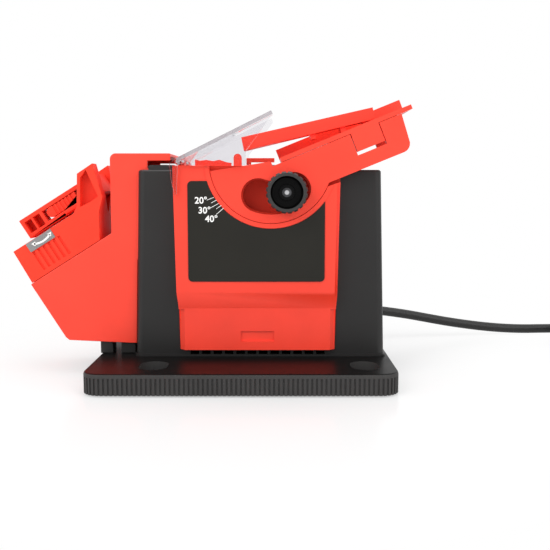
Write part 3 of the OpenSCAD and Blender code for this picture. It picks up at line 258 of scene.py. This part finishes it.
def noise(tree, scale, detail, stretch=(1, 1, 1)):
    """Noise on the piece's own coordinates."""
    place = tree.nodes.new("ShaderNodeTexCoord")
    mapping = tree.nodes.new("ShaderNodeMapping")
    mapping.inputs["Scale"].default_value = stretch
    tex = tree.nodes.new("ShaderNodeTexNoise")
    tex.inputs["Scale"].default_value = scale
    tex.inputs["Detail"].default_value = detail
    tree.links.new(place.outputs["Object"], mapping.inputs["Vector"])
    tree.links.new(mapping.outputs["Vector"], tex.inputs["Vector"])
    return tex.outputs["Fac"]


def ramp(tree, fac, low, high, ends=(0.3, 0.7)):
    """A colour ramp between two colours."""
    node = tree.nodes.new("ShaderNodeValToRGB")
    node.color_ramp.elements[0].position = ends[0]
    node.color_ramp.elements[1].position = ends[1]
    node.color_ramp.elements[0].color = (*low, 1)
    node.color_ramp.elements[1].color = (*high, 1)
    tree.links.new(fac, node.inputs["Fac"])
    return node.outputs["Color"]


def spread(tree, fac, low, high, start=0.0, stop=1.0):
    """Spreads a factor between start and stop over a range."""
    node = tree.nodes.new("ShaderNodeMapRange")
    node.inputs["From Min"].default_value = start
    node.inputs["From Max"].default_value = stop
    node.inputs["To Min"].default_value = low
    node.inputs["To Max"].default_value = high
    tree.links.new(fac, node.inputs["Value"])
    return node.outputs["Result"]


def bump(tree, shader, fac, strength, distance):
    """Fine relief from a factor."""
    node = tree.nodes.new("ShaderNodeBump")
    node.inputs["Strength"].default_value = strength
    node.inputs["Distance"].default_value = distance
    tree.links.new(fac, node.inputs["Height"])
    tree.links.new(node.outputs["Normal"], shader.inputs["Normal"])


def shade(color, k):
    """A colour made k times as bright."""
    return tuple(min(1.0, c * k) for c in color)


def moulding(name, color, rough, grain=1800.0, relief=0.12, cloud=0.06, gloss=0.5):
    """Moulded plastic: slight clouding, a spark-eroded grain and uneven gloss."""
    mat, tree, shader = shader_tree(name)
    shader.inputs["Specular IOR Level"].default_value = gloss
    cloudy = noise(tree, CLOUD_SCALE, detail=3.0)
    tinted = ramp(tree, cloudy, shade(color, 1 - cloud), shade(color, 1 + cloud))
    tree.links.new(tinted, shader.inputs["Base Color"])
    uneven = spread(tree, noise(tree, GLOSS_SCALE, detail=5.0), rough - 0.05, rough + 0.07)
    tree.links.new(uneven, shader.inputs["Roughness"])
    bump(tree, shader, noise(tree, grain, detail=2.0), relief, RELIEF_DEPTH)
    return mat


def metal(name, low, high, rough, stretch=(1, 1, 1), scale=300.0):
    """Bare metal with drawn or turned marks."""
    mat, tree, shader = shader_tree(name)
    marks = noise(tree, scale, detail=4.0, stretch=stretch)
    tree.links.new(ramp(tree, marks, low, high), shader.inputs["Base Color"])
    tree.links.new(spread(tree, marks, rough - 0.08, rough + 0.1), shader.inputs["Roughness"])
    shader.inputs["Metallic"].default_value = 1.0
    bump(tree, shader, marks, 0.08, RELIEF_DEPTH)
    return mat


def grit(name):
    """Bonded grit: light and dark grains with a rough relief."""
    mat, tree, shader = shader_tree(name)
    place = tree.nodes.new("ShaderNodeTexCoord")
    grains = tree.nodes.new("ShaderNodeTexVoronoi")
    grains.inputs["Scale"].default_value = GRIT_SCALE
    tree.links.new(place.outputs["Object"], grains.inputs["Vector"])
    color = ramp(tree, grains.outputs["Distance"], (0.30, 0.30, 0.32), (0.10, 0.10, 0.11), (0.1, 0.6))
    tree.links.new(color, shader.inputs["Base Color"])
    shader.inputs["Roughness"].default_value = 0.92
    bump(tree, shader, grains.outputs["Distance"], 0.5, GRIT_DEPTH)
    return mat


def clear(name, low, high, see_through):
    """Clear moulding with faint flow lines."""
    mat, tree, shader = shader_tree(name)
    flow = noise(tree, FLOW_SCALE, detail=2.0, stretch=(1, 4, 1))
    tree.links.new(ramp(tree, flow, low, high), shader.inputs["Base Color"])
    tree.links.new(spread(tree, flow, 0.015, 0.05), shader.inputs["Roughness"])
    shader.inputs["Transmission Weight"].default_value = see_through
    shader.inputs["IOR"].default_value = 1.12
    return mat


MATERIALS = {}


def make_materials():
    """All finishes, once."""
    look = bpy.context.scene.sharpener_finish
    red, black = tuple(look.red), tuple(look.black)
    mouldings = {
        "moulded_red": dict(color=red, rough=0.40, gloss=0.4),
        "matt_red": dict(color=shade(red, 0.97), rough=0.50, gloss=0.16),
        # The red painted darker as shade, for the pan behind the angle plate's slot
        "deep_red": dict(color=shade(red, 0.62), rough=0.50, gloss=0.12),
        "rocker_red": dict(color=(0.55, 0.02, 0.015), rough=0.25, relief=0.03),
        "moulded_black": dict(color=black, rough=0.40, relief=0.10, cloud=0.10, gloss=0.34),
        # Base black: painted darker as shade on the top, lighter as lit on the skirt and steep faces
        "stand_black": dict(color=shade(black, 0.4), rough=0.36, relief=0.05, cloud=0.10, gloss=0.075),
        "ribbed_black": dict(color=shade(black, 3.4), rough=0.55, relief=0.14, cloud=0.10, gloss=0.16),
        "knob_black": dict(color=shade(black, 2.4), rough=0.42, relief=0.08, gloss=0.30),
        # Knob's dish: the knob's black painted darker as shade in its hollow
        "knob_dish": dict(color=shade(black, 0.12), rough=0.35, relief=0.05, gloss=0.10),
        "soft_black": dict(color=(0.014, 0.014, 0.0135), rough=0.48, grain=900.0, relief=0.16, cloud=0.12,
                           gloss=0.35),
        "motor_moulding": dict(color=(0.05, 0.05, 0.055), rough=0.55),
        "label_print": dict(color=tuple(look.label), rough=0.45, grain=2500.0, relief=0.05, cloud=0.08,
                            gloss=0.22),
        # The sticker's own grey, darkened further as painted shade for the clamp's shadow over it
        "sticker_grey": dict(color=(0.22, 0.215, 0.215), rough=0.38, grain=2500.0, relief=0.05),
        "print_white": dict(color=tuple(look.ink), rough=0.5, grain=3000.0, relief=0.03, cloud=0.03),
    }
    metals = {
        "dark_steel": dict(low=(0.05, 0.05, 0.052), high=(0.10, 0.10, 0.105), rough=0.36),
        "bright_steel": dict(low=(0.50, 0.50, 0.51), high=(0.66, 0.66, 0.67), rough=0.30),
        "zinc_can": dict(low=(0.42, 0.43, 0.44), high=(0.58, 0.59, 0.60), rough=0.38, stretch=(1, 8, 8),
                         scale=120.0),
        "rotor_iron": dict(low=(0.22, 0.13, 0.09), high=(0.40, 0.24, 0.15), rough=0.45, stretch=(14, 1, 1),
                           scale=160.0),
        "bush_bronze": dict(low=(0.45, 0.29, 0.11), high=(0.62, 0.42, 0.18), rough=0.42),
    }
    clears = {
        "clear_moulding": dict(low=(0.85, 0.84, 0.86), high=(0.90, 0.89, 0.91), see_through=1.0),
        # Painted shade: the clear guard's narrow edges, darker and less clear than its panes
        "clear_edge": dict(low=(0.34, 0.31, 0.33), high=(0.44, 0.41, 0.43), see_through=0.25),
    }
    for maker, finishes in ((moulding, mouldings), (metal, metals), (clear, clears)):
        for name, values in finishes.items():
            MATERIALS[name] = maker(name, **values)
    MATERIALS["wheel_grit"] = grit("wheel_grit")


def seen_rays(tree):
    """1 for rays that show the surface to the eye, also in gloss and through glass."""
    path = tree.nodes.new("ShaderNodeLightPath")
    first = tree.nodes.new("ShaderNodeMath")
    first.operation = "MAXIMUM"
    second = tree.nodes.new("ShaderNodeMath")
    second.operation = "MAXIMUM"
    tree.links.new(path.outputs["Is Camera Ray"], first.inputs[0])
    tree.links.new(path.outputs["Is Glossy Ray"], first.inputs[1])
    tree.links.new(first.outputs[0], second.inputs[0])
    tree.links.new(path.outputs["Is Transmission Ray"], second.inputs[1])
    return second.outputs[0]


def pale_floor():
    """White floor that keeps a soft shadow and, near the machine, a faint reflection."""
    mat, tree, out = empty_tree("pale_floor")
    place = tree.nodes.new("ShaderNodeTexCoord")
    away = tree.nodes.new("ShaderNodeVectorMath")
    away.operation = "DISTANCE"
    away.inputs[1].default_value = (0, -FLOOR_Y, 0)
    tree.links.new(place.outputs["Object"], away.inputs[0])
    distance = away.outputs["Value"]
    share = tree.nodes.new("ShaderNodeMath")
    share.operation = "MULTIPLY"
    tree.links.new(seen_rays(tree), share.inputs[0])
    tree.links.new(spread(tree, distance, *WHITE_SHARE, *WHITE_REACH), share.inputs[1])
    matt = tree.nodes.new("ShaderNodeBsdfDiffuse")
    matt.inputs["Color"].default_value = FLOOR_GREY
    white = tree.nodes.new("ShaderNodeEmission")
    ground = tree.nodes.new("ShaderNodeMixShader")
    tree.links.new(share.outputs[0], ground.inputs["Fac"])
    tree.links.new(matt.outputs["BSDF"], ground.inputs[1])
    tree.links.new(white.outputs["Emission"], ground.inputs[2])
    sheen = tree.nodes.new("ShaderNodeBsdfGlossy")
    sheen.inputs["Color"].default_value = WHITE
    sheen.inputs["Roughness"].default_value = SHEEN_ROUGH
    top = tree.nodes.new("ShaderNodeMixShader")
    tree.links.new(spread(tree, distance, *SHEEN_SHARE, *SHEEN_REACH), top.inputs["Fac"])
    tree.links.new(ground.outputs["Shader"], top.inputs[1])
    tree.links.new(sheen.outputs["BSDF"], top.inputs[2])
    tree.links.new(top.outputs["Shader"], out.inputs["Surface"])
    return mat


def pale_world():
    """World that is white to the eye and a soft level to the object."""
    world = bpy.data.worlds.new("pale_world")
    world.use_nodes = True
    tree = world.node_tree
    tree.nodes.clear()
    out = tree.nodes.new("ShaderNodeOutputWorld")
    ground = tree.nodes.new("ShaderNodeBackground")
    ground.inputs["Color"].default_value = WHITE
    tree.links.new(spread(tree, seen_rays(tree), *WORLD_LEVEL), ground.inputs["Strength"])
    tree.links.new(ground.outputs["Background"], out.inputs["Surface"])
    return world


# Copies of CAD nodes

def only(obj):
    """Selects one object and makes it active."""
    bpy.ops.object.select_all(action="DESELECT")
    obj.select_set(True)
    bpy.context.view_layer.objects.active = obj


def dress(obj, finish):
    """Gives a piece one finish."""
    obj.data.materials.clear()
    obj.data.materials.append(MATERIALS[finish])


def body_of(node):
    """The body that a CAD node belongs to."""
    for body, nodes in frame["record"]["behaviour"]["bodies"].items():
        if node in nodes:
            return body
    raise RuntimeError(f"{node} is in no body")


def slot_of(node):
    """The record's material slot of a CAD node."""
    for row in frame["record"]["subparts"]:
        if row["node"] == node:
            return row["material_slot"]
    raise RuntimeError(f"{node} has no slot")


def finish_of(node):
    """The finish of a CAD node."""
    return FINISH_OF_NODE.get(node) or FINISH_OF_SLOT[slot_of(node)]


def faced_copy(node):
    """A copy of a rigid CAD node with whole faces, in the node's place."""
    only(frame["nodes"][node])
    bpy.ops.object.duplicate(linked=False)
    piece = bpy.context.view_layer.objects.active
    piece.name = node + "_faced"
    bpy.ops.object.parent_clear(type="CLEAR_KEEP_TRANSFORM")
    bpy.ops.object.mode_set(mode="EDIT")
    bpy.ops.mesh.select_all(action="SELECT")
    bpy.ops.mesh.remove_doubles(threshold=COPY_MERGE)
    bpy.ops.mesh.dissolve_limited(angle_limit=math.radians(ONE_FACE))
    bpy.ops.object.mode_set(mode="OBJECT")
    dress(piece, finish_of(node))
    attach(piece, body_of(node))
    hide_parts(node)
    return piece


def eased_copy(node, width):
    """A copy of a rigid CAD node with its sharp edges eased."""
    piece = faced_copy(node)
    piece.name = node + "_eased"
    only(piece)
    bpy.ops.object.modifier_add(type="BEVEL")
    rounding = piece.modifiers[-1]
    rounding.width = width
    rounding.segments = EASE_STEPS
    rounding.limit_method = "ANGLE"
    rounding.angle_limit = math.radians(EASE_FROM)
    bpy.ops.object.modifier_apply(modifier=rounding.name)
    bpy.ops.object.shade_smooth_by_angle(angle=math.radians(SMOOTH_TO))
    bpy.ops.object.modifier_add(type="WEIGHTED_NORMAL")
    flat = piece.modifiers[-1]
    flat.weight = FLAT_WEIGHT
    flat.keep_sharp = True
    bpy.ops.object.modifier_apply(modifier=flat.name)
    return piece


def zone(piece, finish, inside):
    """Gives the faces that pass a test a finish of their own."""
    piece.data.materials.append(MATERIALS[finish])
    last = len(piece.data.materials) - 1
    for face in piece.data.polygons:
        if inside(face):
            face.material_index = last


def reach(piece, face, middle):
    """How far a face's farthest corner is from a line along Y through a point."""
    corners = [piece.data.vertices[i].co - middle for i in face.vertices]
    return max(math.hypot(c.x, c.z) for c in corners)


# Lead

def smooth_path(points):
    """A smooth line through the points."""
    out = []
    for i in range(len(points) - 1):
        a = points[max(i - 1, 0)]
        b, c = points[i], points[i + 1]
        d = points[min(i + 2, len(points) - 1)]
        for k in range(LEAD_STEPS):
            t = k / LEAD_STEPS
            out.append(0.5 * (2 * b + (c - a) * t + (2 * a - 5 * b + 4 * c - d) * t * t
                              + (3 * b - a - 3 * c + d) * t * t * t))
    return out + [points[-1]]


def coil_points():
    """The coil's turns: in on the bench, up, and out on top."""
    out_r = COIL_MID + COIL_PITCH * COIL_TURNS / 4
    centre_y = LEAD_ROUTE[-1][1] - out_r
    points = []
    for i in range(1, round(COIL_TURNS * COIL_RING) + 1):
        t = i / COIL_RING
        r = out_r - COIL_PITCH * (t if t < COIL_TURNS / 2 else COIL_TURNS - t)
        z = LEAD_RADIUS + COIL_PITCH * min(1.0, max(0.0, (t - COIL_TURNS / 2) * 2 + 0.5))
        points.append(Vector((COIL_X + r * math.sin(math.tau * t), centre_y + r * math.cos(math.tau * t), z)))
    return points


# Printed marks

def settle(piece):
    """Puts a piece's place into its mesh."""
    only(piece)
    bpy.ops.object.transform_apply(location=True, rotation=True, scale=True)


def on_label(x, z):
    """A place on the label's front face, from millimetres across and up."""
    return Matrix.Translation((x * MM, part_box("label_plate")[0].y, z * MM))


def tick_bar(start, end):
    """A thin bar on the label between two points: a plane drawn out to its thickness."""
    (x0, z0), (x1, z1) = start, end
    length = math.hypot(x1 - x0, z1 - z0)
    turn = math.atan2(z1 - z0, x1 - x0)
    thick = bpy.context.scene.sharpener_sizes.print_t
    bpy.ops.object.select_all(action="DESELECT")
    bpy.ops.mesh.primitive_plane_add(size=1)
    bar = bpy.context.active_object
    bar.name = "scale_ticks"
    bpy.ops.object.mode_set(mode="EDIT")
    bpy.ops.mesh.select_all(action="SELECT")
    bpy.ops.transform.resize(value=(length * MM, TICK_W * MM, 1))
    bpy.ops.mesh.extrude_region_move(TRANSFORM_OT_translate={"value": (0, 0, thick)})
    bpy.ops.object.mode_set(mode="OBJECT")
    middle = on_label((x0 + x1) / 2, (z0 + z1) / 2)
    bar.matrix_world = middle @ Matrix.Rotation(-turn, 4, "Y") @ UPRIGHT
    settle(bar)
    return bar


def printed(piece, body):
    """Cleans a printed mark's mesh and gives it its finish and body."""
    only(piece)
    bpy.ops.object.mode_set(mode="EDIT")
    bpy.ops.mesh.select_all(action="SELECT")
    bpy.ops.mesh.remove_doubles(threshold=MARK_MERGE)
    bpy.ops.mesh.normals_make_consistent(inside=False)
    bpy.ops.object.mode_set(mode="OBJECT")
    dress(piece, "print_white")
    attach(piece, body)


def printed_words(name, words, size, place, centred=False):
    """Words as a thin print, turned and moved to their place."""
    thick = bpy.context.scene.sharpener_sizes.print_t
    bpy.ops.object.select_all(action="DESELECT")
    bpy.ops.object.text_add()
    text = bpy.context.active_object
    text.name = name
    text.data.body = words
    text.data.size = size
    text.data.offset = LETTER_BOLD
    text.data.extrude = thick / 2
    text.data.resolution_u = LETTER_STEPS
    if centred:
        text.data.align_x = "CENTER"
        text.data.align_y = "CENTER"
    bpy.ops.object.convert(target="MESH")
    text = bpy.context.active_object
    text.matrix_world = place @ Matrix.Translation((0, 0, thick / 2))
    settle(text)
    return text


def on_arc(degrees, radius):
    """A point of the swing arrow, in millimetres, by its angle from the arc's lowest point."""
    a = math.radians(degrees - 90)
    return radius * math.cos(a), radius * math.sin(a) + ARROW_R - ARROW_SAG, 0


# Operators, in the order in which they run

class SHARPENER_OT_finishes(bpy.types.Operator):
    """Give every CAD node its finish"""
    bl_idname = "sharpener.finishes"
    bl_label = "Finishes"

    def execute(self, context):
        make_materials()
        for name, obj in frame["nodes"].items():
            dress(obj, finish_of(name))
        return {"FINISHED"}


class SHARPENER_OT_stage(bpy.types.Operator):
    """Set the floor, the light and the camera"""
    bl_idname = "sharpener.stage"
    bl_label = "Studio"

    def execute(self, context):
        scene = context.scene
        scene.view_settings.view_transform = "Standard"
        data = bpy.data.cameras.new("photo_camera")
        data.sensor_width = SENSOR_W
        data.lens = SENSOR_W * FOCAL_PX / FRAME_PX
        data.clip_start = CLIP_START
        data.clip_end = CLIP_END
        camera = bpy.data.objects.new("photo_camera", data)
        camera.location = CAMERA_PLACE
        camera.rotation_euler = (math.radians(90 - CAMERA_DOWN), 0, 0)
        scene.collection.objects.link(camera)
        scene.camera = camera
        bpy.ops.object.select_all(action="DESELECT")
        bpy.ops.mesh.primitive_plane_add(size=FLOOR_W, location=(0, FLOOR_Y, 0))
        floor = context.active_object
        floor.name = "studio_floor"
        floor.data.materials.append(pale_floor())
        scene.world = pale_world()
        for name, (place, turn, width, power) in LAMPS.items():
            light = bpy.data.lights.new(name, "AREA")
            light.size = width
            light.energy = power
            lamp = bpy.data.objects.new(name, light)
            lamp.location = place
            lamp.rotation_euler = [math.radians(a) for a in turn]
            scene.collection.objects.link(lamp)
        return {"FINISHED"}


class SHARPENER_OT_lead(bpy.types.Operator):
    """Make the mains lead and its coil as one cord"""
    bl_idname = "sharpener.lead"
    bl_label = "Mains lead"

    def execute(self, context):
        coil = coil_points()
        tail = [coil[-1] + Vector(p) for p in LEAD_TAIL]
        path = smooth_path([Vector(p) for p in LEAD_ROUTE] + coil + tail)
        data = bpy.data.curves.new("mains_lead", "CURVE")
        data.dimensions = "3D"
        spline = data.splines.new("POLY")
        spline.points.add(len(path) - 1)
        for point, place in zip(spline.points, path):
            point.co = (*place, 1)
        data.bevel_depth = LEAD_RADIUS
        data.bevel_resolution = LEAD_ROUND
        data.use_fill_caps = True
        lead = bpy.data.objects.new("mains_lead", data)
        context.scene.collection.objects.link(lead)
        data.materials.append(MATERIALS["soft_black"])
        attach(lead, "stand")
        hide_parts("power_cord", "cord_coil")
        edge = context.scene.sharpener_sizes.edge
        carried = [eased_copy(node, edge * share) for node, share in EASED_ON_LEAD.items()]
        return {"FINISHED"}


class SHARPENER_OT_mouldings(bpy.types.Operator):
    """Ease the edges of the mouldings and finish their zones, with painted light and shade on the base, the
    knob's dish and the slot's pan
    """
    bl_idname = "sharpener.mouldings"
    bl_label = "Eased mouldings"

    def execute(self, context):
        edge = context.scene.sharpener_sizes.edge
        made = {node: eased_copy(node, edge * share) for node, share in EASED.items()}
        # Painted light: the base's steep faces lighter as lit than its top, painted darker as shade
        zone(made["base_plate"], "ribbed_black", lambda face: abs(face.normal.z) < STEEP)
        knob_low, knob_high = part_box("lock_knob")
        middle = (knob_low + knob_high) / 2
        knob = made["lock_knob"]
        # Painted shade: the knob's dish, darker than the rest of the knob
        zone(knob, "knob_dish", lambda face: reach(knob, face, middle) < DISH_R * MM)
        screw = faced_copy("lock_screw")
        zone(screw, "bright_steel", lambda face: reach(screw, face, middle) < SOCKET_R * MM)
        # Painted shade: the faces of the pan behind the angle plate's slot get a darker red
        pan_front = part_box("angle_plate")[0].y + PAN_IN * MM
        pan_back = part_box("lock_nut")[0].y - PAN_BEFORE_NUT * MM

        def in_pan(face):
            away = face.center - middle
            beside = abs(away.x) < PAN_HALF[0] * MM and abs(away.z) < PAN_HALF[1] * MM
            return beside and pan_front < face.center.y < pan_back

        zone(made["front_housing"], "deep_red", in_pan)
        return {"FINISHED"}


class SHARPENER_OT_guard(bpy.types.Operator):
    """Paint the narrow edges of the clear guard darker than its panes, as painted shade"""
    bl_idname = "sharpener.guard"
    bl_label = "Clear guard"

    def execute(self, context):
        guard = faced_copy("clear_guard")
        corners = guard.data.vertices
        pin_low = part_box("guard_pin")[0]

        def is_edge(face):
            ring = [corners[i].co for i in face.vertices]
            around = sum((a - b).length for a, b in zip(ring, ring[1:] + ring[:1]))
            narrow = 2 * face.area / around < EDGE_W * MM
            shown = face.normal.y < -FACING or face.center.z < pin_low.z
            return narrow and shown and face.center.y < pin_low.y

        zone(guard, "clear_edge", is_edge)
        return {"FINISHED"}


class SHARPENER_OT_scale(bpy.types.Operator):
    """Print the angle scale on the label"""
    bl_idname = "sharpener.scale"
    bl_label = "Angle scale"

    def execute(self, context):
        bars = [tick_bar(start, end) for start, end in SCALE_TICKS]
        only(bars[0])
        for bar in bars[1:]:
            bar.select_set(True)
        bpy.ops.object.join()
        printed(bars[0], "front_module")
        size = context.scene.sharpener_sizes.numeral
        for i, (words, x, z) in enumerate(SCALE_NUMERALS):
            numeral = printed_words(f"scale_numeral_{i}", words, size, on_label(x, z) @ UPRIGHT)
            printed(numeral, "front_module")
        return {"FINISHED"}


class SHARPENER_OT_switch(bpy.types.Operator):
    """Print the off and on marks on the switch rocker"""
    bl_idname = "sharpener.switch"
    bl_label = "Switch marks"

    def execute(self, context):
        rocker = bpy.data.objects["switch_rocker_eased"]
        outer = [face for face in rocker.data.polygons if face.normal.x > FACING]
        halves = sorted(outer, key=lambda face: face.area)[-2:]
        halves.sort(key=lambda face: face.center.y)
        for i, (words, face) in enumerate(zip(SWITCH_MARKS, halves)):
            up = Vector((0, 0, 1))
            across = up.cross(face.normal).normalized()
            turn = Matrix((across, up, face.normal)).transposed().to_4x4()
            place = Matrix.Translation(face.center) @ turn
            mark = printed_words(f"switch_mark_{i}", words, SWITCH_MARK_H * MM, place, centred=True)
            printed(mark, "rocker")
        return {"FINISHED"}


class SHARPENER_OT_arrow(bpy.types.Operator):
    """Print the swing arrow on the cradle's sticker"""
    bl_idname = "sharpener.arrow"
    bl_label = "Swing arrow"

    def execute(self, context):
        thick = context.scene.sharpener_sizes.print_t
        low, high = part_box("arrow_plate")
        middle = Vector(((low.x + high.x) / 2, low.y, (low.z + high.z) / 2))
        bpy.ops.object.select_all(action="DESELECT")
        bpy.ops.mesh.primitive_grid_add(x_subdivisions=ARROW_STEPS, y_subdivisions=1, size=1)
        band = context.active_object
        band.name = "swing_arrow"
        for v in band.data.vertices:
            v.co = on_arc(2 * v.co.x * ARROW_HALF, ARROW_R + v.co.y * ARROW_W)
        heads = []
        for side in (-1, 1):
            along = math.radians(side * ARROW_HALF - 90) + (0 if side > 0 else math.pi)
            bpy.ops.mesh.primitive_circle_add(vertices=3, radius=ARROW_HEAD, fill_type="NGON",
                                              rotation=(0, 0, along),
                                              location=on_arc(side * ARROW_HALF, ARROW_R))
            heads.append(context.active_object)
        only(band)
        for head in heads:
            head.select_set(True)
        bpy.ops.object.join()
        bpy.ops.object.mode_set(mode="EDIT")
        bpy.ops.mesh.select_all(action="SELECT")
        bpy.ops.mesh.extrude_region_move(TRANSFORM_OT_translate={"value": (0, 0, thick / MM)})
        bpy.ops.object.mode_set(mode="OBJECT")
        band.matrix_world = (Matrix.Translation(middle) @ Matrix.Rotation(-DRILL_TILT, 4, "Y")
                             @ Matrix.Translation((ARROW_SHIFT * MM, 0, 0)) @ UPRIGHT @ Matrix.Scale(MM, 4))
        settle(band)
        printed(band, "cradle")
        return {"FINISHED"}


class SHARPENER_PT_panel(bpy.types.Panel):
    """The sharpener's pieces"""
    bl_label = "Bench sharpener"
    bl_space_type = "VIEW_3D"
    bl_region_type = "UI"
    bl_category = "Sharpener"

    def draw(self, context):
        for step in STEPS:
            self.layout.operator(step.bl_idname)


STEPS = (SHARPENER_OT_finishes, SHARPENER_OT_stage, SHARPENER_OT_lead, SHARPENER_OT_mouldings,
         SHARPENER_OT_guard, SHARPENER_OT_scale, SHARPENER_OT_switch, SHARPENER_OT_arrow)
CLASSES = (SharpenerFinish, SharpenerSizes) + STEPS + (SHARPENER_PT_panel,)


def register():
    """Registers the classes and the scene's properties."""
    for cls in CLASSES:
        bpy.utils.register_class(cls)
    bpy.types.Scene.sharpener_finish = PointerProperty(type=SharpenerFinish)
    bpy.types.Scene.sharpener_sizes = PointerProperty(type=SharpenerSizes)


def unregister():
    """Takes the scene's properties and the classes off again."""
    del bpy.types.Scene.sharpener_finish
    del bpy.types.Scene.sharpener_sizes
    for cls in reversed(CLASSES):
        bpy.utils.unregister_class(cls)


def main():
    """Makes all pieces in order."""
    register()
    bpy.ops.sharpener.finishes()
    bpy.ops.sharpener.stage()
    bpy.ops.sharpener.lead()
    bpy.ops.sharpener.mouldings()
    bpy.ops.sharpener.guard()
    bpy.ops.sharpener.scale()
    bpy.ops.sharpener.switch()
    bpy.ops.sharpener.arrow()


if __name__ == "__main__":
    main()
